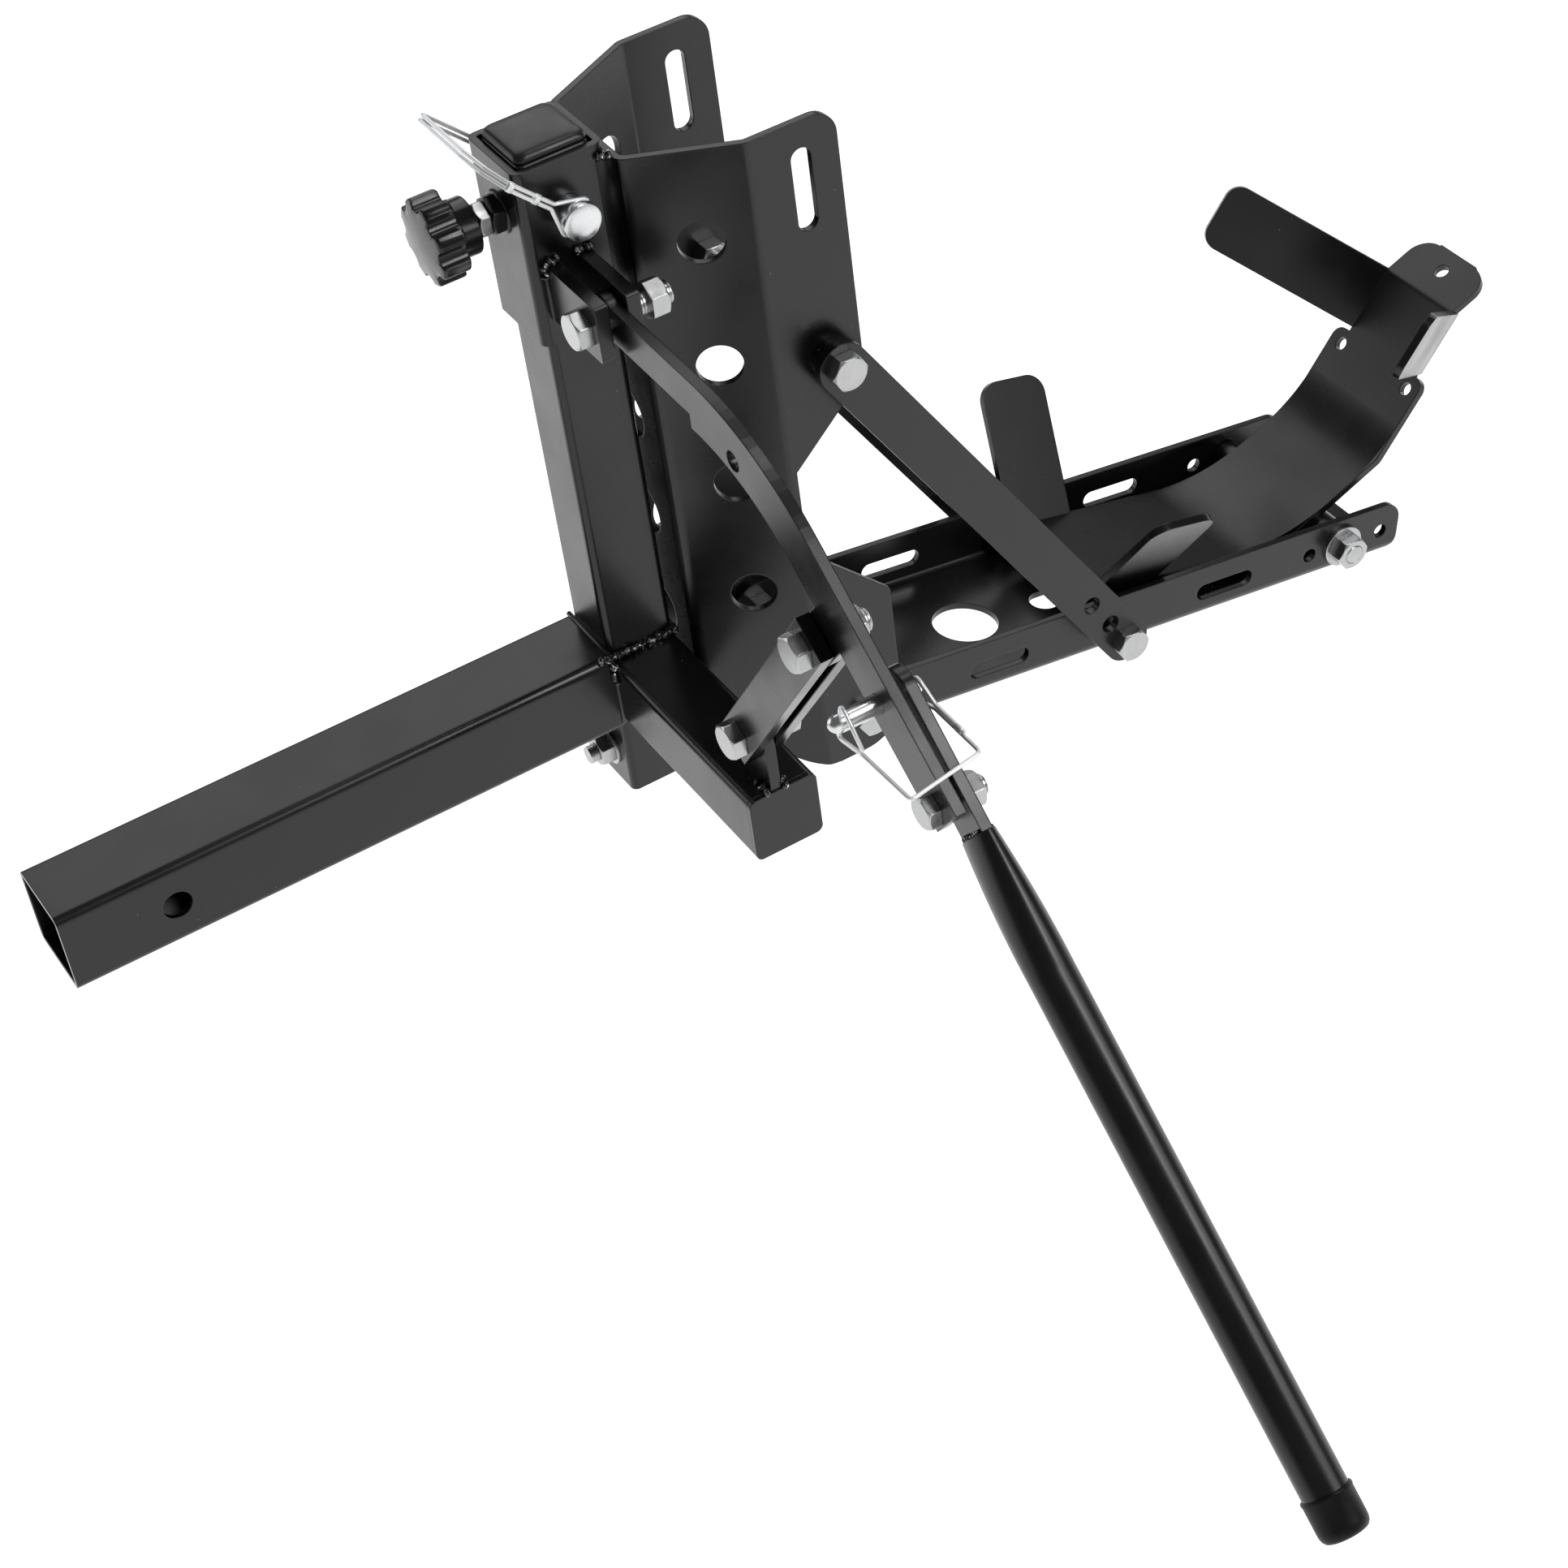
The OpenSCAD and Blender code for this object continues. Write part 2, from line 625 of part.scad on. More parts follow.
module brace_spacers() color(black) each_brace_bolt(panel_half, tray_half) {
    ring(brace_gap, 22, bolt_d + 2 * bolt_gap);
    ring(brace_in - tray_half, 22, bolt_d + 2 * bolt_gap);
}

module brace_bolts() color(zinc) each_brace_bolt(brace_out, brace_out) {
    rotate([180, 0, 0]) bolt(brace_out - panel_in + nut_h + tail, bolt_d, hex_af, head_h);
    rotate([180, 0, 0]) bolt(brace_out - tray_half + tray_t + nut_h + 1, bolt_d, hex_af, head_h);
}

module brace_nuts() color(zinc) each_brace_bolt(panel_in, tray_half - tray_t) {
    rotate([180, 0, 0]) nut(nut_h, bolt_d, hex_af);
    rotate([180, 0, 0]) nut(nut_h, bolt_d, hex_af);
}

module each_tray_bolt(y) for (s = [-1, 1]) mirror([0, s > 0 ? 1 : 0, 0])
    at_post(tray_hinge_x, -y, tray_hinge_z) rotate([-90, 0, 0]) children();

module tray_bolts() color(zinc) each_tray_bolt(panel_half)
    bolt(plate_t + tray_t + nut_h + tail, bolt_d, hex_af, head_h);

module tray_nuts() color(zinc) each_tray_bolt(tray_half - tray_t) nut(nut_h, bolt_d, hex_af);

module lever_bolt() color(zinc) cross_bolt(pivot_a_u, pivot_a_z, front_lug, lever_x + lug_out + nut_gap);

module lever_nut() color(zinc) cross_nut(pivot_a_u, pivot_a_z, lever_x + lug_out + nut_gap);

module knob_weld_nut() color(black) at_post(-sleeve_half, 0, knob_z)
    rotate([0, -90, 0]) nut(8, knob_bore + 2 * run_gap, 19);

module axle_bolt() color(zinc) at_post(axle_x, tray_half + 2.5, axle_z) rotate([90, 0, 0])
    bolt(2 * tray_half + 5 + nut_h + flush_tail, bolt_d, hex_af, head_h);

module axle_washers() color(zinc) for (s = [-1, 1]) at_post(axle_x, s * (tray_half + 1.25), axle_z)
    rotate([90, 0, 0]) translate([0, 0, -1.25]) ring(2.5, 26, bolt_d);

module axle_nut() color(zinc) at_post(axle_x, -tray_half - 2.5, axle_z)
    rotate([90, 0, 0]) nut(nut_h, bolt_d, hex_af);

// Clamp knob, drawn along Z away from the sleeve
module at_knob() at_post(-sleeve_half, 0, knob_z) rotate([0, -90, 0]) children();

module clamp_knob() color(plastic) at_knob() difference() {
    rotate_extrude() polygon([[0, hub_in], [hub_r, hub_in], [hub_r, disc_in], [knob_d / 2 - 0.8, disc_in],
        [knob_d / 2, disc_in + 0.8], [knob_d / 2, disc_out - 0.8], [knob_d / 2 - 0.8, disc_out],
        [10, disc_out + 1.4], [0, disc_out + 1.7]]);
    for (i = [0:knob_lobes - 1])
        rotate([0, 0, (i + 0.5) * 360 / knob_lobes]) translate([knob_d / 2 + 0.5, 0, disc_in - 1])
        cylinder(h = 30, r = 5.2);
    translate([0, 0, 10]) cylinder(h = 20, d = knob_bore);
}

module knob_stud() color(zinc) at_knob() translate([0, 0, -4.4]) cylinder(h = 34.4, d = knob_bore);

module knob_jam_nut() color(zinc) at_knob() translate([0, 0, 8.5]) nut(6, knob_bore, 17);

// Lock pin with its wire bail; the stretch inside the post is left out
module pin_end(side) at_post(0, 0, lock_pin_z) difference() {
    union() {
        along_y(side > 0 ? pin_in : -pin_reach) cylinder(h = pin_reach - pin_in, r = lock_r);
        along_y(side > 0 ? pin_reach : -pin_reach - 1.5) cylinder(h = 1.5 + eps,
            r1 = lock_r - (side > 0 ? 0 : 1.5), r2 = lock_r - (side > 0 ? 1.5 : 0));
    }
    rotate([0, bail_rise, 0]) translate([0, side * bail_half, -20]) cylinder(h = 40, r = wire_r, $fn = 24);
}

module lock_pin_near() color(zinc) pin_end(-1);

module lock_pin_far() color(zinc) pin_end(1);

module lock_pin_bail() color(zinc) at_post(0, 0, lock_pin_z) rotate([0, bail_rise, 0]) {
    wire([[-34, -bail_half, strand], [-18, -bail_half, strand], [0, -bail_half, eye_half],
        [0, -bail_half, -eye_half], [-18, -bail_half, -strand], [-bail_reach, -bail_half, -strand],
        [-bail_reach, bail_half, 0], [-15, bail_half, 0], [0, bail_half, -eye_half],
        [0, bail_half, eye_half - 2]]);
    for (x = [-18, -29])
        translate([x, -bail_half, 0]) rotate([0, -90, 0]) cylinder(h = crimp_len, r = crimp_r);
}

// Lever, its links and the handle. The lever's bar runs the full length, with a rib under it
// from the bend on and a crook that hangs down to the links.
module lever_outline() {
    along = [cos(lever_fall_in), -sin(lever_fall_in)];
    up = [sin(lever_fall_in), cos(lever_fall_in)];
    pivot = [pivot_a_u, pivot_a_z];
    start = pivot + (inner_run - rib_lead) * along;
    edge = sheet_steps(start - (lever_w / 2 + rib_w) * up, -lever_fall_in, [rib_lead, outer_run],
        [-lever_bend], lever_w + rib_w, lever_bend_r - lever_w / 2 - rib_w, 16);
    polygon(concat([pivot - lever_w / 2 * up, start - lever_w / 2 * up], [for (s = edge) s[0]],
        [for (i = [len(edge) - 1:-1:1]) edge[i][1]], [pivot + lever_w / 2 * up]));
    translate(pivot) circle(lever_eye);
    translate([pivot_c_u, pivot_c_z]) rotate(-lever_fall_out) {
        circle(crook_r);
        translate([-crook_r, 0]) square([2 * crook_r, lever_rise * cos(lever_fall_out) - lever_w / 2]);
    }
}

module lever() color(black) difference() {
    side_plate(lever_near, lever_far) lever_outline();
    pivot_hole(pivot_a_u, pivot_a_z, bolt_r + run_gap);
    pivot_hole(pivot_c_u, pivot_c_z, bolt_r + link_room);
    pivot_hole(knee_u - 16.5, knee_z - 14.5, spare_hole_d / 2);
    pivot_hole(pin_u, pin_z, handle_pin_d / 2 + run_gap);
    pivot_hole(handle_u, handle_z, handle_hole_d / 2);
}

module handle_tongue() color(black) at_handle() difference() {
    rotate([0, 90, 0]) linear_extrude(tongue_t, center = true) {
        translate([tongue_pin_s, 0]) circle(tongue_w / 2);
        translate([-tongue_tail, -tongue_w / 2]) square([tongue_pin_s + tongue_tail, tongue_w]);
    }
    along_x(-drill / 2) cylinder(h = drill, d = handle_hole_d);
    translate([0, 0, -tongue_pin_s]) along_x(-drill / 2)
        cylinder(h = drill, r = handle_pin_d / 2 + run_gap);
}

module handle_tube() color(black) at_handle() difference() {
    union() {
        hull() {
            translate([0, 0, tube_start]) linear_extrude(flat_len / 2)
                round_square(flat_t, tongue_w + 5, flat_t / 2 - 0.1, $fn = 32);
            translate([0, 0, tube_start + flat_len]) cylinder(h = 1, d = handle_d, $fn = 32);
        }
        translate([0, 0, tube_start + flat_len])
            cylinder(h = handle_len - tube_start - flat_len, d = handle_d);
    }
    translate([-tongue_t / 2, -tongue_w / 2, 0]) cube([tongue_t, tongue_w, tongue_tail]);
    translate([0, 0, tube_start + flat_len]) cylinder(h = handle_len, d = handle_d - 2 * handle_wall);
}

module handle_cap() color(plastic) at_handle() difference() {
    translate([0, 0, handle_len - 25]) rotate_extrude()
        polygon([[0, 0], [handle_d / 2 + 1, 0], [handle_d / 2 + 1, 26], [handle_d / 2, 28],
            [handle_d / 2 - 2, 29], [0, 29]]);
    translate([0, 0, handle_len - 30]) cylinder(h = 30, d = handle_d);
}

module handle_washer() color(zinc) at_post(lever_far, -handle_u, handle_z) rotate([0, 90, 0])
    ring(handle_gap, 20, handle_bolt_d);

module handle_bolt() color(zinc) at_post(lever_near, -handle_u, handle_z) rotate([0, 90, 0])
    bolt(tongue_out - lever_near + handle_nut_h + 3, handle_bolt_d, handle_af, handle_head);

module handle_nut() color(zinc) at_post(tongue_out, -handle_u, handle_z) rotate([0, 90, 0])
    nut(handle_nut_h, handle_bolt_d, handle_af);

module at_handle_pin() at_post(0, -pin_u, pin_z) children();

module handle_pin() color(zinc) at_handle_pin() difference() {
    union() {
        along_x(near_eye_x - 3) cylinder(h = far_eye_x - near_eye_x + 6, d = handle_pin_d);
        along_x(far_eye_x + 3 - eps) cylinder(h = 2, d1 = handle_pin_d, d2 = handle_pin_d - 3);
    }
    for (x = [near_eye_x, far_eye_x])
        rotate([pin_bail_fall, 0, 0]) translate([x, 0, -15]) cylinder(h = 30, r = wire_r, $fn = 24);
}

module handle_pin_bail() color(zinc) at_handle_pin() rotate([pin_bail_fall, 0, 0]) {
    wire([[near_eye_x, -19, strand], [near_eye_x, 0, 10], [near_eye_x, 0, -10], [near_eye_x, -20, -strand],
        [-17, -pin_bail_reach, -strand], [16, -pin_bail_reach, -strand], [20.5, -31, -strand],
        [far_eye_x, 0, -9], [far_eye_x, 0, 9], [20.5, -31, strand], [19.6, -35, strand]]);
    translate([20.6, -30, 0]) rotate([90, 0, 0]) cylinder(h = crimp_len, r = crimp_r);
}

module link_plate(x) difference() {
    side_plate(x, x + lug_t)
        translate([pivot_b_u, pivot_b_z]) rotate(atan2(pivot_c_z - pivot_b_z, pivot_c_u - pivot_b_u))
            translate([-link_end, -link_w / 2]) square([link_len + 2 * link_end, link_w]);
    pivot_hole(pivot_b_u, pivot_b_z, bolt_r + bolt_gap);
    pivot_hole(pivot_c_u, pivot_c_z, bolt_r + bolt_gap);
}

module link_front() color(black) link_plate(lever_x - lug_out);

module link_rear() color(black) link_plate(lever_x + lug_in);

module link_low_bolt() color(zinc) cross_bolt(pivot_b_u, pivot_b_z, lever_x - lug_out, lever_x + lug_out);

module link_low_nut() color(zinc) cross_nut(pivot_b_u, pivot_b_z, lever_x + lug_out);

module link_top_bolt() color(zinc) cross_bolt(pivot_c_u, pivot_c_z, lever_x - lug_out, lever_x + lug_out);

module link_top_nut() color(zinc) cross_nut(pivot_c_u, pivot_c_z, lever_x + lug_out);

// Chock, drawn from the axle: the rear panel's top face lies above the axle by the seat height
module at_chock() at_post(axle_x, 0, axle_z) rotate([0, -rear_slope, 0]) children();

module chock_sheet() {
    fold = rear_slope + front_fall;
    lift = upper_slope - rear_slope;
    cut_low = (bend_r + chock_t) * tan(fold / 2);
    cut_up = (bend_r + chock_t) * tan(lift / 2);
    cut_top = bend_r * tan((upper_slope - top_slope) / 2);
    across(2 * chock_half) bent_sheet(
        [-chock_low_s - chock_front * cos(fold), chock_seat - chock_t + chock_front * sin(fold)], -fold,
        [chock_front - cut_low, chock_rear - cut_low - cut_up, chock_upper - cut_up - cut_top, chock_top],
        [fold, lift, top_slope - upper_slope], chock_t, bend_r);
}

// Carries a piece to the foot of the upper panel, with X up the panel
module at_upper() translate([-chock_low_s + chock_rear, 0, chock_seat])
    rotate([0, rear_slope - upper_slope, 0]) children();

module upper_waste(side) at_upper() mirror([0, side > 0 ? 0 : 1, 0]) {
    translate([tab_s, neck_half, -20]) cube([flag_w + 60, chock_half, 60]);
    translate([tab_s, chock_half, -20]) linear_extrude(40) corner_waste(7);
    translate([tab_s - 9, neck_half + 0.5, -20]) cylinder(h = 40, d = 8);
}

module flag_shape(w, len, r) {
    translate([-w / 2, -flag_root]) square([w, len - r + flag_root]);
    translate([-w / 2 + r, 0]) square([w - 2 * r, len]);
    for (i = [-1, 1]) translate([i * (w / 2 - r), len - r]) circle(r);
}

module upper_flag(side) mirror([0, side > 0 ? 0 : 1, 0]) at_upper()
    translate([chock_upper - flag_w / 2, neck_half - 1, 0]) rotate([flag_bend, 0, 0])
        translate([0, 0, -chock_t]) linear_extrude(chock_t) flag_shape(flag_w, flag_len, 10);

module lower_flag(side) mirror([0, side > 0 ? 0 : 1, 0]) translate([-chock_low_s, 0, chock_seat])
    rotate([0, rear_slope + front_fall, 0]) translate([low_flag_w / 2 - chock_front, chock_half - 3, -1])
        rotate([90 - low_flag_lean, 0, 0]) translate([0, 0, -chock_t]) linear_extrude(chock_t)
            flag_shape(low_flag_w, low_flag_len, 12);

// Carries a piece to the foot of the top tongue, with X along the tongue
module at_top() at_upper() translate([chock_upper, 0, 0]) rotate([0, upper_slope - top_slope, 0]) children();

module chock_plate() color(black) at_chock() difference() {
    union() {
        difference() {
            chock_sheet();
            for (s = [-1, 1]) upper_waste(s);
        }
        for (s = [-1, 1]) upper_flag(s);
        for (s = [-1, 1]) lower_flag(s);
    }
    at_top() translate([chock_top - 13, 0, -20]) cylinder(h = 40, d = 9);
    at_top() for (s = [0, 1]) mirror([0, s, 0])
        translate([chock_top, neck_half, -20]) linear_extrude(40) corner_waste(14);
}

module chock_tube() color(black) difference() {
    at_post(axle_x, 0, axle_z) along_y(-chock_tube_half)
        ring(2 * chock_tube_half, chock_tube_d, bolt_d + 2 * run_gap);
    at_chock() translate([-chock_half, -chock_half, chock_seat - chock_t])
        cube([2 * chock_half, 2 * chock_half, chock_tube_d]);
}

hitch_bar();
post();
post_cap();
cross_tube();
cross_tube_end();
link_tab();
guide_bolt();
guide_washer();
guide_nut();
sleeve();
lever_lug_front();
lever_lug_rear();
back_plate();
tray();
brace_near();
brace_far();
brace_spacers();
brace_bolts();
brace_nuts();
tray_bolts();
tray_nuts();
lever_bolt();
lever_nut();
knob_weld_nut();
axle_bolt();
axle_washers();
axle_nut();
clamp_knob();
knob_stud();
knob_jam_nut();
lock_pin_near();
lock_pin_far();
lock_pin_bail();
lever();
handle_tongue();
handle_tube();
handle_cap();
handle_washer();
handle_bolt();
handle_nut();
handle_pin();
handle_pin_bail();
link_front();
link_rear();
link_low_bolt();
link_low_nut();
link_top_bolt();
link_top_nut();
chock_plate();
chock_tube();
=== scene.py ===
"""Looks of a motorcycle carrier for a hitch receiver: coat, zinc, welds, threads, wire bails and a knob.

Lengths are metres in the frame's own axes: +X away from the vehicle, +Y away from the viewer, +Z up, with
the origin in the middle of the hitch pin hole. Helpers that take millimetres say so.
"""
import math

import bmesh
import bpy
from mathutils import Matrix, Vector


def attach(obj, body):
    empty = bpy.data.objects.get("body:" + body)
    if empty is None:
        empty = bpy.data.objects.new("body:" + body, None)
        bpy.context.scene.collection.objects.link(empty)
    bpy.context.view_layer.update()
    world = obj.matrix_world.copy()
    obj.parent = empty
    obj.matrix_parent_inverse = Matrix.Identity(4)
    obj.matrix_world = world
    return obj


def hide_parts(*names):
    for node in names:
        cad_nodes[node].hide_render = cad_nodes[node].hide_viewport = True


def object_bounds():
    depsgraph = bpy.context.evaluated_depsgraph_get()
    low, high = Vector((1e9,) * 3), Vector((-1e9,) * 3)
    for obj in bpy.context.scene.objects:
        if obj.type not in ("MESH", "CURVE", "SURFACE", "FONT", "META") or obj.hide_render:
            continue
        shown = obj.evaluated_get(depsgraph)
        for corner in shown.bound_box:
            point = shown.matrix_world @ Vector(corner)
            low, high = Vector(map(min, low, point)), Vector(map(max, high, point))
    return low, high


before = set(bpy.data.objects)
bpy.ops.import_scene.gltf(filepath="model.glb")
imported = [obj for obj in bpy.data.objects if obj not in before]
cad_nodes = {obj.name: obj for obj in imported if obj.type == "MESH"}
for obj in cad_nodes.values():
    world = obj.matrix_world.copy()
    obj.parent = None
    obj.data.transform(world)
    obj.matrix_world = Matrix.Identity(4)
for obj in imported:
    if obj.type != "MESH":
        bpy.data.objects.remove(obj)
cad_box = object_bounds()

MM = 0.001
POST_X = 283.0
AXES = {"x": Vector((1, 0, 0)), "y": Vector((0, 1, 0)), "z": Vector((0, 0, 1))}


def mm(x, y, z):
    """A place given in millimetres, measured from the post's axis along X, in the row frame's metres."""
    return Vector(((POST_X + x) * MM, y * MM, z * MM))


def in_metres(pairs):
    """Pairs given in millimetres, in metres."""
    return [(a * MM, b * MM) for a, b in pairs]


# Places in mm that several pieces share
LOCK_PIN_Z = 299
KNOB_Z = 296
SLEEVE_HALF = 25
SLEEVE_TOP = 320.5
LEVER_BOLT_Y, LEVER_BOLT_Z = -59.5, 256
HANDLE_BOLT_Y, HANDLE_BOLT_Z = -330, 129.98


# Camera

CAMERA_PLACE = Vector((-0.2883, -1.3453, 1.1962))
CAMERA_AZIMUTH = math.radians(25.877)
CAMERA_ELEVATION = math.radians(41.821)
CAMERA_ROLL = math.radians(8.498)
SENSOR = 36.0
PHOTO_WIDTH = 1932
FOCAL_PIXELS = 4265.3


def add_camera():
    ahead = Vector((
        math.sin(CAMERA_AZIMUTH) * math.cos(CAMERA_ELEVATION),
        math.cos(CAMERA_AZIMUTH) * math.cos(CAMERA_ELEVATION),
        -math.sin(CAMERA_ELEVATION),
    ))
    level = Vector((math.cos(CAMERA_AZIMUTH), -math.sin(CAMERA_AZIMUTH), 0))
    plumb = ahead.cross(level)
    right = math.cos(CAMERA_ROLL) * level + math.sin(CAMERA_ROLL) * plumb
    down = math.cos(CAMERA_ROLL) * plumb - math.sin(CAMERA_ROLL) * level
    data = bpy.data.cameras.new("camera")
    data.sensor_width = SENSOR
    data.lens = FOCAL_PIXELS / PHOTO_WIDTH * SENSOR
    camera = bpy.data.objects.new("camera", data)
    turn = Matrix((right, -down, -ahead)).transposed()
    camera.matrix_world = Matrix.Translation(CAMERA_PLACE) @ turn.to_4x4()
    bpy.context.scene.collection.objects.link(camera)
    bpy.context.scene.camera = camera


add_camera()


# Shader maths

class Socket:
    """A socket of a material's tree, with the sums that the finishes below use."""

    def __init__(self, net, socket):
        self.net = net
        self.socket = socket

    def out(self, name):
        return Socket(self.net, self.socket.node.outputs[name])

    def math(self, operation, *values):
        return self.net.add("ShaderNodeMath", {"operation": operation}, dict(enumerate(values)))

    def __add__(self, other):
        return self.math("ADD", self, other)

    __radd__ = __add__

    def __mul__(self, other):
        return self.math("MULTIPLY", self, other)

    __rmul__ = __mul__

    def __sub__(self, other):
        return self.math("SUBTRACT", self, other)

    def __rsub__(self, other):
        return self.math("SUBTRACT", other, self)

    def __gt__(self, other):
        return self.math("GREATER_THAN", self, other)

    def __lt__(self, other):
        return self.math("LESS_THAN", self, other)


NOISE_LOW, NOISE_HIGH = 0.3, 0.7


class Net:
    """A material's or the world's node tree, emptied."""

    def __init__(self, owner):
        owner.use_nodes = True
        self.owner = owner
        self.tree = owner.node_tree
        self.tree.nodes.clear()

    def add(self, kind, settings=None, inputs=None):
        node = self.tree.nodes.new(kind)
        for key, value in (settings or {}).items():
            setattr(node, key, value)
        for key, value in (inputs or {}).items():
            if isinstance(value, Socket):
                self.tree.links.new(value.socket, node.inputs[key])
            else:
                node.inputs[key].default_value = value
        return Socket(self, node.outputs[0]) if node.outputs else None

    def noise(self, place, scale, detail=2.0, roughness=0.5):
        return self.add("ShaderNodeTexNoise", None, {
            "Vector": place, "Scale": scale, "Detail": detail, "Roughness": roughness})

    def spread(self, value, low, high, to_low, to_high):
        return self.add("ShaderNodeMapRange", None, {
            "Value": value, "From Min": low, "From Max": high, "To Min": to_low, "To Max": to_high})

    def ramp(self, value, low, high):
        """0 below low, 1 above high and a straight rise between."""
        return self.spread(value, low, high, 0.0, 1.0)

    def vary(self, noise, least, most):
        """A value that follows a noise over the noise's usual range."""
        return self.spread(noise, NOISE_LOW, NOISE_HIGH, least, most)

    def mix(self, share, first, second):
        return self.add("ShaderNodeMixRGB", None, {"Fac": share, "Color1": first, "Color2": second})


def grey(level, warmth=0.0):
    return (level * (1 + warmth), level, level * (1 - warmth), 1)


EDGE_ROUND = 1.0 * MM
EDGE_SAMPLES = 6
EDGE_START, EDGE_FULL = 0.01, 0.2


def plain_normal(net):
    return net.add("ShaderNodeNewGeometry").out("Normal")


def eased_normal(net):
    """The surface's normal with its sharp edges eased."""
    return net.add("ShaderNodeBevel", {"samples": EDGE_SAMPLES}, {"Radius": EDGE_ROUND})


def edge_mask(net, eased):
    """A mask that is 1 on sharp edges, where the eased normal leaves the surface's own."""
    along = net.add("ShaderNodeVectorMath", {"operation": "DOT_PRODUCT"}, {
        0: eased, 1: plain_normal(net)})
    return net.ramp(1 - along.out("Value"), EDGE_START, EDGE_FULL)


def object_place(net):
    return net.add("ShaderNodeTexCoord").out("Object")


def finish_material(net, sockets):
    shader = net.add("ShaderNodeBsdfPrincipled", None, sockets)
    net.add("ShaderNodeOutputMaterial", None, {"Surface": shader})
    return net.owner


def bumped(net, height, strength, distance, normal):
    return net.add("ShaderNodeBump", None, {
        "Height": height, "Strength": strength, "Distance": distance, "Normal": normal})


PEEL_DEPTH = 0.12 * MM
SPATTER_DEPTH = 0.20 * MM
DRAWN_DEPTH = 0.05 * MM
NIB_REACH, NIB_CHANCE, NIB_TONE = 0.05, 0.72, 0.20
RUBBED_TONE = 0.16
COATED_TONE, BARE_TONE = 0.006, 0.66
# Zinc's colour on its sharp edges: a painted highlight
ZINC_EDGE_HIGHLIGHT = 0.75


def powder_coat(name, base=0.0045, gloss=0.27, peel=0.16, chips=0.5, eased=True):
    """Baked black powder coat: fine orange peel, dust nibs and a few rubbed chips on the edges."""
    net = Net(bpy.data.materials.new(name))
    place = object_place(net)
    normal = eased_normal(net) if eased else plain_normal(net)
    edge = edge_mask(net, normal) if eased else 0.0
    skin = net.noise(place, scale=620, detail=3)
    cloud = net.noise(place, scale=24, detail=4)
    nib_cells = net.add("ShaderNodeTexVoronoi", None, {"Vector": place, "Scale": 95})
    nib_size = net.add("ShaderNodeSeparateColor", None, {"Color": nib_cells.out("Color")})
    nibs = (nib_cells.out("Distance") < nib_size * NIB_REACH) * (nib_size > NIB_CHANCE)
    scuff = net.noise(place, scale=260, detail=5, roughness=0.7)
    rub = net.ramp(scuff, 0.60, 0.70) * edge * chips
    tone = net.mix(cloud, grey(base * 0.75), grey(base * 1.3, warmth=-0.02))
    tone = net.mix(rub, tone, grey(RUBBED_TONE))
    tone = net.mix(nibs * 0.5, tone, grey(NIB_TONE))
    lumps = skin + nibs * 0.8
    return finish_material(net, {
        "Base Color": tone,
        "Roughness": net.vary(cloud, gloss - 0.04, gloss + 0.06) + edge * 0.05,
        "Specular IOR Level": 0.45,
        "Normal": bumped(net, lumps, peel, PEEL_DEPTH, normal),
    })


def coated_weld(name):
    """Weld metal under a thin, glossy coat, with the bare specks that spatter leaves."""
    net = Net(bpy.data.materials.new(name))
    place = object_place(net)
    skin = net.noise(place, scale=700, detail=3)
    bare = net.ramp(net.noise(place, scale=330, detail=2), 0.55, 0.62)
    return finish_material(net, {
        "Base Color": net.mix(bare, grey(COATED_TONE), grey(BARE_TONE)),
        "Metallic": bare,
        "Roughness": 0.15 + bare * 0.12,
        "Specular IOR Level": 0.6,
        "Normal": bumped(net, skin, 0.3, SPATTER_DEPTH, eased_normal(net)),
    })


def bright_zinc(name, gloss=0.26, dull=0.34, fresh=0.53, metal=1.0):
    """Bright zinc plate: patchy sheen, faint blue and straw tints, fine drawn marks and a painted highlight
    along the edges.
    """
    net = Net(bpy.data.materials.new(name))
    place = object_place(net)
    normal = eased_normal(net)
    edge = edge_mask(net, normal)
    cloud = net.noise(place, scale=130, detail=4)
    grain = net.noise(place, scale=1500, detail=2)
    tone = net.mix(cloud, grey(dull, warmth=-0.05), grey(fresh, warmth=0.02))
    # Painted highlight: the zinc is made paler along its sharp edges
    tone = net.mix(edge * 0.5, tone, grey(ZINC_EDGE_HIGHLIGHT, warmth=-0.01))
    return finish_material(net, {
        "Base Color": tone,
        "Metallic": metal,
        "Roughness": net.vary(cloud, gloss - 0.06, gloss + 0.10) + grain * 0.06,
        "Normal": bumped(net, grain, 0.12, DRAWN_DEPTH, normal),
    })


def moulded(name, base, gloss, grain_scale, grain_depth, shine=0.45):
    """Moulded plastic or rubber: even black with a fine grain and slightly uneven gloss."""
    net = Net(bpy.data.materials.new(name))
    place = object_place(net)
    cloud = net.noise(place, scale=60, detail=4)
    grain = net.noise(place, scale=grain_scale, detail=3)
    return finish_material(net, {
        "Base Color": net.mix(cloud, grey(base * 0.8), grey(base * 1.25)),
        "Roughness": net.vary(cloud, gloss - 0.05, gloss + 0.07),
        "Specular IOR Level": shine,
        "Normal": bumped(net, grain, grain_depth, PEEL_DEPTH, eased_normal(net)),
    })


COAT = powder_coat("black_powder_coat")
BEND_COAT = powder_coat("bend_powder_coat", eased=False)
WELD = coated_weld("coated_weld")
ZINC = bright_zinc("bright_zinc")
PIN_STEEL = bright_zinc("polished_pin", gloss=0.22, dull=0.58, fresh=0.74)
WIRE = bright_zinc("bail_wire", gloss=0.34, dull=0.80, fresh=0.92, metal=0.7)
KNOB_PLASTIC = moulded("glossy_knob_plastic", base=0.005, gloss=0.20, grain_scale=900, grain_depth=0.05)
PLUG_PLASTIC = moulded("satin_plug_plastic", base=0.006, gloss=0.32, grain_scale=1100, grain_depth=0.18)
RUBBER = moulded("handle_rubber", base=0.003, gloss=0.42, grain_scale=1300, grain_depth=0.30, shine=0.2)

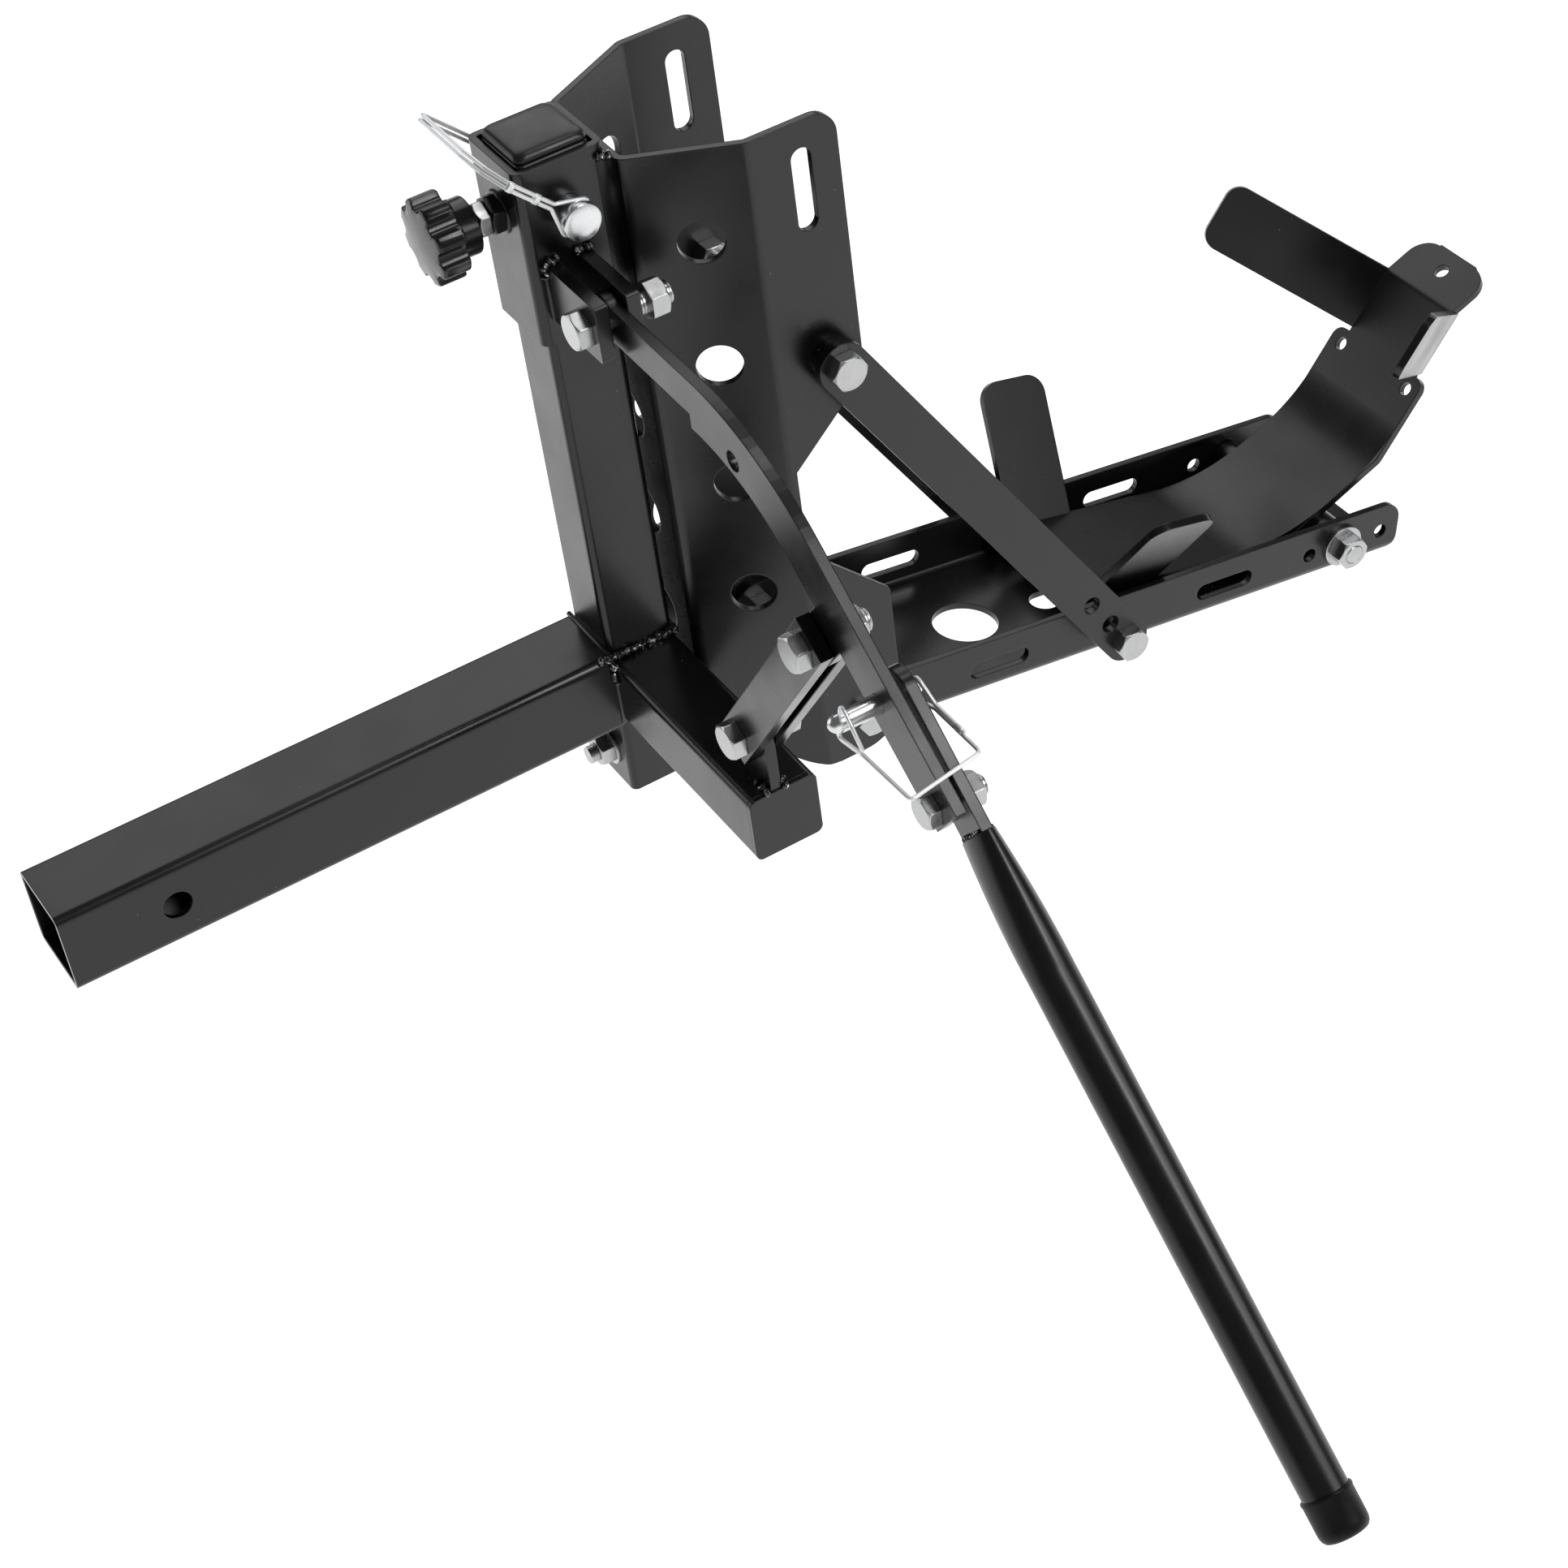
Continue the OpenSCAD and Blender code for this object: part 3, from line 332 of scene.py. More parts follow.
PIN_NODES = {"lock_pin_near", "lock_pin_far", "handle_pin"}
ZINC_NODES = {
    "guide_bolt", "guide_washer", "guide_nut", "brace_bolts", "brace_nuts", "tray_bolts", "tray_nuts",
    "lever_bolt", "lever_nut", "axle_bolt", "axle_washers", "axle_nut", "knob_stud", "knob_jam_nut",
    "handle_washer", "handle_bolt", "handle_nut",
    "link_low_bolt", "link_low_nut", "link_top_bolt", "link_top_nut",
}
OTHER_NODES = {"post_cap": PLUG_PLASTIC, "clamp_knob": KNOB_PLASTIC, "handle_cap": RUBBER}


def dress(node, material):
    data = cad_nodes[node].data
    data.materials.clear()
    data.materials.append(material)


for node in cad_nodes:
    if node in PIN_NODES:
        dress(node, PIN_STEEL)
    elif node in ZINC_NODES or node.endswith("bail"):
        dress(node, ZINC)
    else:
        dress(node, OTHER_NODES.get(node, COAT))


# Pieces

def add_piece(name, data, material, body, replaced=()):
    """Links a finished mesh as a piece of a body; replaced names the solids that it stands for."""
    piece = bpy.data.objects.new(name, data)
    if material is not None:
        data.materials.clear()
        data.materials.append(material)
    bpy.context.scene.collection.objects.link(piece)
    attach(piece, body)
    if replaced:
        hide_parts(*replaced)


SHARP_ANGLE = math.radians(40)


def skin_rings(name, rings):
    """A smooth, closed mesh through rings of points, each ring the same length and in order."""
    build = bmesh.new()
    rows = [[build.verts.new(point) for point in ring] for ring in rings]
    count = len(rows[0])
    for low, high in zip(rows, rows[1:]):
        for k in range(count):
            build.faces.new((low[k], low[(k + 1) % count], high[(k + 1) % count], high[k]))
    build.faces.new(list(reversed(rows[0])))
    build.faces.new(rows[-1])
    bmesh.ops.recalc_face_normals(build, faces=build.faces)
    for face in build.faces:
        face.smooth = True
    for edge in build.edges:
        if len(edge.link_faces) == 2 and edge.calc_face_angle() > SHARP_ANGLE:
            edge.smooth = False
    data = bpy.data.meshes.new(name)
    build.to_mesh(data)
    build.free()
    return data


def joined(name, parts):
    """One mesh from several, left as separate shells."""
    build = bmesh.new()
    for part in parts:
        build.from_mesh(part)
    data = bpy.data.meshes.new(name)
    build.to_mesh(data)
    build.free()
    return data


def oval(centre, first, second, sides):
    """Points round an oval whose two half axes are given as vectors."""
    turns = [math.tau * k / sides for k in range(sides)]
    return [centre + math.cos(turn) * first + math.sin(turn) * second for turn in turns]


def soft_corner(start, corner, end, steps):
    """Points on the curve that runs from start to end and is drawn towards a corner."""
    shares = [k / steps for k in range(steps + 1)]
    return [(1 - t) ** 2 * start + 2 * t * (1 - t) * corner + t ** 2 * end for t in shares]


CORNER_SHARE = 0.48


def fillet_path(points, radius, steps=6):
    """The corners of a path rounded to a radius, as far as the stretches beside them allow."""
    path = [points[0]]
    for before, corner, after in zip(points, points[1:], points[2:]):
        back = before - corner
        on = after - corner
        half = back.angle(on) / 2
        reach = min(radius / math.tan(half), CORNER_SHARE * back.length, CORNER_SHARE * on.length)
        start = corner + reach * back.normalized()
        end = corner + reach * on.normalized()
        path += soft_corner(start, corner, end, steps)
    path.append(points[-1])
    return path


CUT_END_SIZE = 0.72
CUT_END_STEP = 0.4


def wire_rings(path, radius, sides=14):
    """Rings along a path, carried without twist, with the two ends slightly rounded."""
    heads = [(b - a).normalized() for a, b in zip(path, path[1:])]
    heads = [heads[0]] + [(a + b).normalized() for a, b in zip(heads, heads[1:])] + [heads[-1]]
    side = heads[0].orthogonal().normalized()
    rings = []
    for k, (place, head) in enumerate(zip(path, heads)):
        side = (side - side.dot(head) * head).normalized()
        other = head.cross(side)
        size = radius * (CUT_END_SIZE if k in (0, len(path) - 1) else 1.0)
        rings.append(oval(place, size * side, size * other, sides))
    return rings


def end_eased(path, radius):
    """The path with a short step before each end, so that the cut ends are chamfered."""
    first = path[0] + CUT_END_STEP * radius * (path[1] - path[0]).normalized()
    last = path[-1] + CUT_END_STEP * radius * (path[-2] - path[-1]).normalized()
    return [path[0], first] + path[1:-1] + [last, path[-1]]


def lathe(name, profile, place, axis, sides):
    """A turned piece: (radius, height) pairs in metres round an axis from a place."""
    axis = axis.normalized()
    side = axis.orthogonal().normalized()
    other = axis.cross(side)
    rings = [
        oval(place + height * axis, radius * side, radius * other, sides)
        for radius, height in profile]
    return skin_rings(name, rings)


# The two pins and their wire bails

WIRE_RADIUS = 1.1 * MM
STRAND = WIRE_RADIUS + 0.3 * MM
BAND_WALL = 0.35 * MM
BAND_SIDES = 24
BAND_SHAPE = [(0, 0.9), (0.1, 1), (0.9, 1), (1, 0.9)]
BAIL_BEND = 3 * MM


def wire_band(name, place, along, wide, length):
    """A narrow band pressed round two strands that lie side by side."""
    thin = along.cross(wide)
    half_wide = STRAND + WIRE_RADIUS + BAND_WALL
    half_thin = WIRE_RADIUS + BAND_WALL
    rings = [
        oval(place + share * length * along, size * half_wide * wide, size * half_thin * thin, BAND_SIDES)
        for share, size in BAND_SHAPE]
    return skin_rings(name, rings)


def add_bail(name, body, points, turn, bands):
    """A wire bail with its bands. Points and bands are in mm before the turn about the pin."""
    path = end_eased(fillet_path([turn @ (Vector(p) * MM) for p in points], BAIL_BEND), WIRE_RADIUS)
    parts = [skin_rings(name, wire_rings(path, WIRE_RADIUS))]
    wide = turn.to_3x3() @ AXES["z"]
    for start, end in bands:
        start, end = turn @ (Vector(start) * MM), turn @ (Vector(end) * MM)
        parts.append(wire_band(name, start, (end - start).normalized(), wide, (end - start).length))
    add_piece(name + "_wire", joined(name, parts), WIRE, body, [name])


LOCK_BAIL_LEAN = math.radians(44.3)
HANDLE_BAIL_LEAN = math.radians(15)
HANDLE_PIN_PLACE = mm(0, -289.43, 165.62)


def lock_bail():
    """The lock pin's bail: one wire, doubled all the way round, with an eye at each end of the pin."""
    half, reach, apart = 36, 58, STRAND / MM
    turn = Matrix.Translation(mm(0, 0, LOCK_PIN_Z)) @ Matrix.Rotation(LOCK_BAIL_LEAN, 4, "Y")
    bow = [
        (0, -half, 12), (-17, -half, apart), (-46, -half, apart), (-55, -26, apart),
        (-reach, -8, apart), (-reach, half, apart), (-16, half, apart), (0, half, 11)]
    back = [(x, y, -z) for x, y, z in reversed(bow)]
    bands = [((x, -half, 0), (x - 3.4, -half, 0)) for x in (-26, -43)]
    near_eye = [(0, -half, 0)]
    add_bail("lock_pin_bail", "lock_pin", near_eye + bow + back + near_eye, turn, bands)


def handle_bail():
    """The handle pin's bail: one wire from a near eye round to a far eye, which a band closes."""
    near, far, apart = -27, 13.6, STRAND / MM
    turn = Matrix.Translation(HANDLE_PIN_PLACE) @ Matrix.Rotation(HANDLE_BAIL_LEAN, 4, "X")
    points = [
        (near, -20, apart), (near, 0, 15), (near, 0, -11), (near, -20, -apart), (-22, -52, -apart),
        (19.75, -46, -apart), (15.6, -15, -apart), (far, 0, -9), (far, 0, 9),
        (15.6, -15, apart), (18.3, -35, apart)]
    add_bail("handle_pin_bail", "handle_pin", points, turn, [((17.5, -29, 0), (18.0, -33, 0))])


def handle_pin_steel():
    """The handle pin with a bullet nose at each end."""
    radius, near, far = 5.0, -33.0, 17.0
    near_nose, far_nose = 1.3 * radius, 0.7 * radius
    turns = [math.radians(15 * k) for k in range(1, 7)]
    nose = [(radius * math.sin(turn), 1 - math.cos(turn)) for turn in turns]
    profile = [(r, near + near_nose * h) for r, h in nose]
    profile += [(r, far - far_nose * h) for r, h in reversed(nose)]
    data = lathe("handle_pin_steel", in_metres(profile), HANDLE_PIN_PLACE, AXES["x"], sides=40)
    add_piece("handle_pin_steel", data, PIN_STEEL, "handle_pin", ["handle_pin"])


def lock_pin_button():
    """The broad turned end of the lock pin, which the bail's eye runs through."""
    profile = [
        (7.0, 0), (9.6, 0), (10.1, 0.5), (10.1, 7.2), (9.9, 7.7), (9.3, 8.0), (6.0, 8.3), (1.0, 8.4)]
    data = lathe("lock_pin_button", in_metres(profile), mm(0, -33.5, LOCK_PIN_Z), -AXES["y"], sides=64)
    add_piece("lock_pin_button", data, PIN_STEEL, "lock_pin")


lock_bail()
handle_bail()
handle_pin_steel()
lock_pin_button()


# Clamp knob

KNOB_PLACE = mm(-SLEEVE_HALF, 0, KNOB_Z)
KNOB_AXIS = -AXES["x"]
KNOB_RADIUS = 22.5
KNOB_LOBES = 8
NOTCH_PLACE = KNOB_RADIUS + 0.5
NOTCH_RADIUS = 5.2
NOTCH_EASE = 1.3
NOTCH_SPREAD = 1.25
LOBE_SIDES = 24
KNOB_PROFILE = [
    (5.2, 16.5), (14.0, 16.5), (14.7, 16.8), (15.0, 17.5), (15.0, 26.4), (15.3, 27.1), (16.0, 27.4),
    (21.3, 27.4), (22.0, 27.6), (22.4, 28.1), (22.5, 28.8), (22.5, 40.8), (22.4, 41.5), (22.0, 42.0),
    (21.3, 42.4), (19.0, 42.7), (15.0, 43.2), (10.0, 43.6), (5.0, 43.9), (1.2, 44.0)]


def knob_radius(radius, turn):
    """A profile radius in mm, pulled in where a notch lies at that angle, with an eased rim."""
    pitch = math.tau / KNOB_LOBES
    off = (turn / pitch - 0.5) % 1 - 0.5
    across = NOTCH_PLACE * math.sin(abs(off) * pitch)
    if across >= NOTCH_RADIUS * NOTCH_SPREAD:
        return radius
    inside = max(NOTCH_RADIUS ** 2 - across ** 2, 0)
    limit = NOTCH_PLACE * math.cos(off * pitch) - math.sqrt(inside)
    gap = max(NOTCH_EASE - abs(radius - limit), 0) / NOTCH_EASE
    return min(radius, limit) - gap * gap * NOTCH_EASE / 4


def clamp_knob():
    sides = KNOB_LOBES * LOBE_SIDES
    turns = [math.tau * k / sides for k in range(sides)]
    side = AXES["y"]
    other = KNOB_AXIS.cross(side)
    rings = []
    for radius, height in KNOB_PROFILE:
        centre = KNOB_PLACE + height * MM * KNOB_AXIS
        rings.append([
            centre + knob_radius(radius, turn) * MM * (math.cos(turn) * side + math.sin(turn) * other)
            for turn in turns])
    data = skin_rings("clamp_knob_moulding", rings)
    add_piece("clamp_knob_moulding", data, KNOB_PLASTIC, "knob", ["clamp_knob"])


clamp_knob()


# Plug in the post

def rounded_square(half, corner, height, steps=8):
    """A ring of points round a square with rounded corners, in mm about the post's axis."""
    ring = []
    for quarter in range(4):
        start = math.tau * quarter / 4
        diagonal = start + math.pi / 4
        centre = (half - corner) * math.sqrt(2) * Vector((math.cos(diagonal), math.sin(diagonal)))
        for k in range(steps + 1):
            turn = start + math.pi / 2 * k / steps
            ring.append(mm(centre.x + corner * math.cos(turn), centre.y + corner * math.sin(turn), height))
    return ring


# Half width, corner radius and height in mm, from the foot in the post up to the crown
PLUG_PROFILE = [
    (17, 2, 305), (17, 2, 321), (19.5, 3.6, 321), (20, 4, 321.5), (20, 4, 326.4), (19.4, 4, 327.0),
    (19.3, 4, 327.5), (19.8, 4.4, 328.2), (19.9, 4.6, 329.4), (19.5, 4.9, 330.7), (18.5, 5.3, 331.9),
    (17.0, 5.6, 332.7), (14.5, 5.6, 333.2), (11, 5, 333.5), (6, 3, 333.6), (2, 1, 333.6)]


def post_plug():
    rings = [rounded_square(half, corner, height) for half, corner, height in PLUG_PROFILE]
    data = skin_rings("post_plug", rings)
    add_piece("post_plug", data, PLUG_PLASTIC, "base", ["post_cap"])


post_plug()


# Handle: a tube pinched to an oval mouth, and its rubber cap

HANDLE_PIVOT = mm(7.5, HANDLE_BOLT_Y, HANDLE_BOLT_Z)
HANDLE_FALL = math.radians(41.3)
HANDLE_TURN = Matrix.Translation(HANDLE_PIVOT) @ Matrix.Rotation(math.pi / 2 + HANDLE_FALL, 4, "X")
HANDLE_RADIUS = 11.75
HANDLE_LENGTH = 372.0
MOUTH_START, ROUND_START = 20.0, 92.0
MOUTH_HALF_X, MOUTH_HALF_Y = 7.0, 15.3
FLARE_X, FLARE_Y = 2, 2.2
# How far inside the mouth each ring of its lip lies in mm, and the ring's share of the full size
MOUTH_LIP = [(5, 0.80), (0.6, 0.82), (0, 0.88), (0, 0.96), (0.5, 1.0)]
MOUTH_STEPS = 24
HANDLE_SIDES = 64
CAP_OVER, CAP_WALL = 18, 1


def handle_spot(x, y, height):
    """A place on the handle in mm: height runs from the handle bolt to the free end."""
    return HANDLE_TURN @ (Vector((x, y, height)) * MM)


def handle_ring(height, size=1.0):
    """A ring across the handle: an oval at the pinched mouth, which opens to a circle."""
    share = min((height - MOUTH_START) / (ROUND_START - MOUTH_START), 1)
    half_x = HANDLE_RADIUS + (MOUTH_HALF_X - HANDLE_RADIUS) * (1 - share) ** FLARE_X
    half_y = MOUTH_HALF_Y + (HANDLE_RADIUS - MOUTH_HALF_Y) * share ** FLARE_Y
    centre = Vector((0, 0, height))
    ring = oval(centre, size * half_x * AXES["x"], size * half_y * AXES["y"], HANDLE_SIDES)
    return [handle_spot(*point) for point in ring]


def handle_grip():
    rings = [handle_ring(MOUTH_START + inside, size) for inside, size in MOUTH_LIP]
    first = MOUTH_START + 1
    rings += [handle_ring(first + (ROUND_START - first) * k / MOUTH_STEPS) for k in range(MOUTH_STEPS + 1)]
    rings.append(handle_ring(HANDLE_LENGTH - 1))
    data = skin_rings("handle_grip", rings)
    add_piece("handle_grip", data, COAT, "lever", ["handle_tube"])


def handle_cap():
    outer = HANDLE_RADIUS + CAP_WALL
    profile = [
        (HANDLE_RADIUS - 0.4, 0.6), (HANDLE_RADIUS + 0.3, 0), (outer - 0.2, 0.1), (outer + 0.25, 0.5),
        (outer + 0.3, 1.6), (outer, 2.4), (outer, 16), (outer - 0.15, 18), (outer - 0.7, 19.8),
        (outer - 1.8, 21.2), (outer - 3.4, 21.8), (outer - 6, 22), (1.5, 22)]
    axis = HANDLE_TURN.to_3x3() @ AXES["z"]
    place = handle_spot(0, 0, HANDLE_LENGTH - CAP_OVER)
    data = lathe("handle_end_cap", in_metres(profile), place, axis, HANDLE_SIDES)
    add_piece("handle_end_cap", data, RUBBER, "lever", ["handle_cap"])


handle_grip()
handle_cap()


# Welds and threads, grown along paths with Geometry Nodes

class Grower:
    """A Geometry Nodes tree with named inputs, whose result is made a plain mesh for each piece."""

    def __init__(self, name, inputs, material):
        self.tree = bpy.data.node_groups.new(name, "GeometryNodeTree")
        self.material = material
        face = self.tree.interface
        face.new_socket("Geometry", in_out="INPUT", socket_type="NodeSocketGeometry")
        for label, kind, value in inputs:
            socket = face.new_socket(label, in_out="INPUT", socket_type=kind)
            socket.default_value = value
        face.new_socket("Geometry", in_out="OUTPUT", socket_type="NodeSocketGeometry")
        self.source = self.tree.nodes.new("NodeGroupInput")

    def add(self, kind, settings=None, inputs=None):
        node = self.tree.nodes.new(kind)
        for key, value in (settings or {}).items():
            setattr(node, key, value)
        for key, value in (inputs or {}).items():
            if isinstance(value, bpy.types.NodeSocket):
                self.tree.links.new(value, node.inputs[key])
            else:
                node.inputs[key].default_value = value
        return node

    def close(self, geometry):
        real = self.add("GeometryNodeRealizeInstances", None, {"Geometry": geometry})
        soft = self.add("GeometryNodeSetShadeSmooth", None, {"Geometry": real.outputs[0]})
        painted = self.add("GeometryNodeSetMaterial", None, {
            "Geometry": soft.outputs[0], "Material": self.material})
        self.add("NodeGroupOutput", None, {"Geometry": painted.outputs[0]})

    def grow(self, name, guide, values):
        """The tree's mesh on a guide mesh, with the named inputs set."""
        carrier = bpy.data.objects.new(name + "_guide", guide)
        bpy.context.scene.collection.objects.link(carrier)
        modifier = carrier.modifiers.new("grow", "NODES")
        modifier.node_group = self.tree
        for item in self.tree.interface.items_tree:
            if item.in_out == "INPUT" and item.name in values:
                modifier[item.identifier] = values[item.name]
        graph = bpy.context.evaluated_depsgraph_get()
        data = bpy.data.meshes.new_from_object(carrier.evaluated_get(graph))
        data.name = name
        carrier.modifiers.remove(modifier)
        bpy.data.objects.remove(carrier)
        return data


RIPPLE_LEAST, RIPPLE_MOST = (0.62, 0.62, 0.45), (1.22, 1.22, 0.95)


def weld_tree():
    """Overlapping ripples along a path, as a weld pool leaves them, a little uneven."""
    grower = Grower("weld_bead", [
        ("Ripple", "NodeSocketFloat", 1.5 * MM), ("Throat", "NodeSocketFloat", 3.0 * MM),
        ("Wander", "NodeSocketFloat", 0.4 * MM), ("Seed", "NodeSocketInt", 1)], WELD)
    source = grower.source.outputs
    curve = grower.add("GeometryNodeMeshToCurve", None, {"Mesh": source["Geometry"]})
    points = grower.add("GeometryNodeCurveToPoints", {"mode": "LENGTH"}, {
        "Curve": curve.outputs[0], "Length": source["Ripple"]})
    astray = grower.add("FunctionNodeRandomValue", {"data_type": "FLOAT_VECTOR"}, {
        "Min": (-1.0,) * 3, "Max": (1.0,) * 3, "Seed": source["Seed"]})
    offset = grower.add("ShaderNodeVectorMath", {"operation": "SCALE"}, {
        0: astray.outputs["Value"], "Scale": source["Wander"]})
    moved = grower.add("GeometryNodeSetPosition", None, {
        "Geometry": points.outputs["Points"], "Offset": offset.outputs[0]})
    ripple = grower.add("GeometryNodeMeshUVSphere", None, {
        "Segments": 12, "Rings": 8, "Radius": source["Throat"]})
    size = grower.add("FunctionNodeRandomValue", {"data_type": "FLOAT_VECTOR"}, {
        "Min": RIPPLE_LEAST, "Max": RIPPLE_MOST, "Seed": source["Seed"]})
    placed = grower.add("GeometryNodeInstanceOnPoints", None, {
        "Points": moved.outputs[0], "Instance": ripple.outputs["Mesh"],
        "Rotation": points.outputs["Rotation"], "Scale": size.outputs["Value"]})
    grower.close(placed.outputs[0])
    return grower


THREAD_PITCH = 1.5 * MM
THREAD_RIDGE = 0.55 * MM
THREAD_SINK = 0.22


def thread_tree():
    """A screw thread's ridge, wound from each guide point along its axis attribute."""
    grower = Grower("screw_thread", [
        ("Radius", "NodeSocketFloat", 6.0 * MM), ("Length", "NodeSocketFloat", 4.0 * MM),
        ("Pitch", "NodeSocketFloat", THREAD_PITCH)], ZINC)
    source = grower.source.outputs
    turns = grower.add("ShaderNodeMath", {"operation": "DIVIDE"}, {0: source["Length"], 1: source["Pitch"]})
    helix = grower.add("GeometryNodeCurveSpiral", None, {
        "Resolution": 28, "Rotations": turns.outputs[0], "Start Radius": source["Radius"],
        "End Radius": source["Radius"], "Height": source["Length"]})
    ridge = grower.add("GeometryNodeCurvePrimitiveCircle", {"mode": "RADIUS"}, {
        "Resolution": 4, "Radius": THREAD_RIDGE})
    wound = grower.add("GeometryNodeCurveToMesh", None, {
        "Curve": helix.outputs[0], "Profile Curve": ridge.outputs[0], "Fill Caps": True})
    points = grower.add("GeometryNodeMeshToPoints", None, {"Mesh": source["Geometry"]})
    axis = grower.add("GeometryNodeInputNamedAttribute", {"data_type": "FLOAT_VECTOR"}, {"Name": "axis"})
    aim = grower.add("FunctionNodeAlignRotationToVector", {"axis": "Z"}, {
        "Vector": axis.outputs["Attribute"]})
    placed = grower.add("GeometryNodeInstanceOnPoints", None, {
        "Points": points.outputs[0], "Instance": wound.outputs[0], "Rotation": aim.outputs[0]})
    grower.close(placed.outputs[0])
    return grower


WELD_BEAD = weld_tree()
SCREW_THREAD = thread_tree()


def guide_paths(name, paths):
    """A mesh of loose edges along paths of points."""
    data = bpy.data.meshes.new(name)
    verts, edges = [], []
    for path in paths:
        start = len(verts)
        verts += [tuple(p) for p in path]
        edges += [(start + k, start + k + 1) for k in range(len(path) - 1)]
    data.from_pydata(verts, edges, [])
    return data


def guide_points(name, spots):
    """A mesh of loose points with an axis at each."""
    data = bpy.data.meshes.new(name)
    data.from_pydata([tuple(place) for place, axis in spots], [], [])
    layer = data.attributes.new("axis", "FLOAT_VECTOR", "POINT")
    for item, (place, axis) in zip(layer.data, spots):
        item.vector = axis
    return data


def add_welds(name, body, paths, throat, seed, spacing=0.75, wander=0.22):
    """Weld beads along paths; spacing and wander are shares of the throat."""
    values = {"Ripple": spacing * throat, "Throat": throat, "Wander": wander * throat, "Seed": seed}
    data = WELD_BEAD.grow(name, guide_paths(name, paths), values)
    add_piece(name, data, None, body)


SEAM_RADIUS = 1.5 * MM


def add_seams(name, body, paths):
    """Smooth, coated seams along paths."""
    parts = [skin_rings(name, wire_rings(end_eased(path, SEAM_RADIUS), SEAM_RADIUS)) for path in paths]
    add_piece(name, joined(name, parts), COAT, body)


# Seams lie just outside the faces of the post, the hitch bar and the sleeve
POST_SEAM, BAR_SEAM, SLEEVE_SEAM = 20.4, 25.2, 25.2
# Where the hitch bar and the cross tube meet the post
BASE_SEAMS = [
    [mm(-POST_SEAM, -24, BAR_SEAM), mm(-POST_SEAM, 24, BAR_SEAM)],
    [mm(-20.2, -BAR_SEAM, 19), mm(-20.2, -BAR_SEAM, -20)],
    [mm(-20.2, 20.6, 23), mm(-20.2, 20.6, -23)],
    [mm(-POST_SEAM, -20, -BAR_SEAM), mm(-POST_SEAM, 20, -BAR_SEAM)],
    [mm(-19, -POST_SEAM, POST_SEAM), mm(19, -POST_SEAM, POST_SEAM)],
    [mm(-19, -POST_SEAM, -POST_SEAM), mm(19, -POST_SEAM, -POST_SEAM)],
]
# Beside the lever's lugs on the sleeve, and round the clamp knob's nut
LUG_SEAM_LOW, LUG_SEAM_HIGH = 243, 272
CARRIAGE_SEAMS = [
    [mm(x, -SLEEVE_SEAM, LUG_SEAM_LOW), mm(x, -SLEEVE_SEAM, LUG_SEAM_HIGH)] for x in (-17.3, -9.4, 8.2)
]
NUT_SEAM_RADIUS = 10.2 * MM
NUT_SEAM = oval(mm(-25.1, 0, KNOB_Z), NUT_SEAM_RADIUS * AXES["y"], NUT_SEAM_RADIUS * AXES["z"], sides=40)
CARRIAGE_SEAMS.append(NUT_SEAM + NUT_SEAM[:1])
# Lumps at the ends and corners of the seams, and on the handle's mouth
JUNCTION_WELDS = [
    [mm(-20, -21.4, 21.6), mm(20, -21.4, 21.6)],
    [mm(-26, -25, 24.6), mm(-17, -22, 22.4)],
    [mm(13, -22, 22), mm(21, -22.6, 23.4)],
    [mm(-21, -25.6, 21), mm(-21, -25.8, 10)],
]
TAB_WELDS = [
    [mm(-8.2, -154, 20.6), mm(-7.8, -165, 20.8)],
    [mm(2.2, -154, 20.6), mm(1.8, -165, 20.8)],
]
LUG_WELDS = [
    [mm(-18.2, -26.4, 269), mm(-17.6, -26.8, 275), mm(-11, -26.8, 275.4)],
    [mm(0, -26.8, 275.2), mm(8, -26.8, 275.2)],
    [mm(24, -29, 320.4), mm(20, -26.4, 320.4)],
]
MOUTH_WELDS = [[handle_spot(x, y, 19.4) for y in (-10, 10)] for x in (3.6, -3.6)]


# The corner between the sleeve and the back plate, with the fillet sunk a little into both
FILLET_X, FILLET_Y = 25.25, 24.75


def seam_fillets(radius=9.0, low=229.5, high=SLEEVE_TOP, steps=10):
    """The smooth fillets between the sleeve's sides and the back plate."""
    parts = []
    for side in (-1, 1):
        section = [(FILLET_X, FILLET_Y)]
        for k in range(steps + 1):
            turn = math.pi / 2 * k / steps
            section.append((
                FILLET_X - radius * (1 - math.cos(turn)), FILLET_Y + radius * (1 - math.sin(turn))))
        rings = [[mm(x, side * y, z) for x, y in section] for z in (low, high)]
        parts.append(skin_rings("seam_fillets", rings))
    add_piece("seam_fillets", joined("seam_fillets", parts), BEND_COAT, "carriage")


seam_fillets()


CHOCK_LEAN = math.radians(-21.6)
CHOCK_TURN = Matrix.Translation(mm(440.98, 0, -110.81)) @ Matrix.Rotation(CHOCK_LEAN, 4, "Y")


def chock_spot(x, y, z):
    """A place on the chock in mm, with X up its rear panel from the axle."""
    return CHOCK_TURN @ (Vector((x, y, z)) * MM)


CHOCK_SEAT = 14.48
CHOCK_HALF = 40.2
CHOCK_WELD_HALF, CHOCK_WELD_Z = 38, 9.4
BEND_SINK = 0.6
BEND_STEPS = 24
# Place up the rear panel in mm, the two panels' angles in degrees, and the bend's reach in mm
CHOCK_BENDS = [(-25.07, 144.7, 0.0, 40.0), (50.44, 180.0, 26.4, 24.0)]


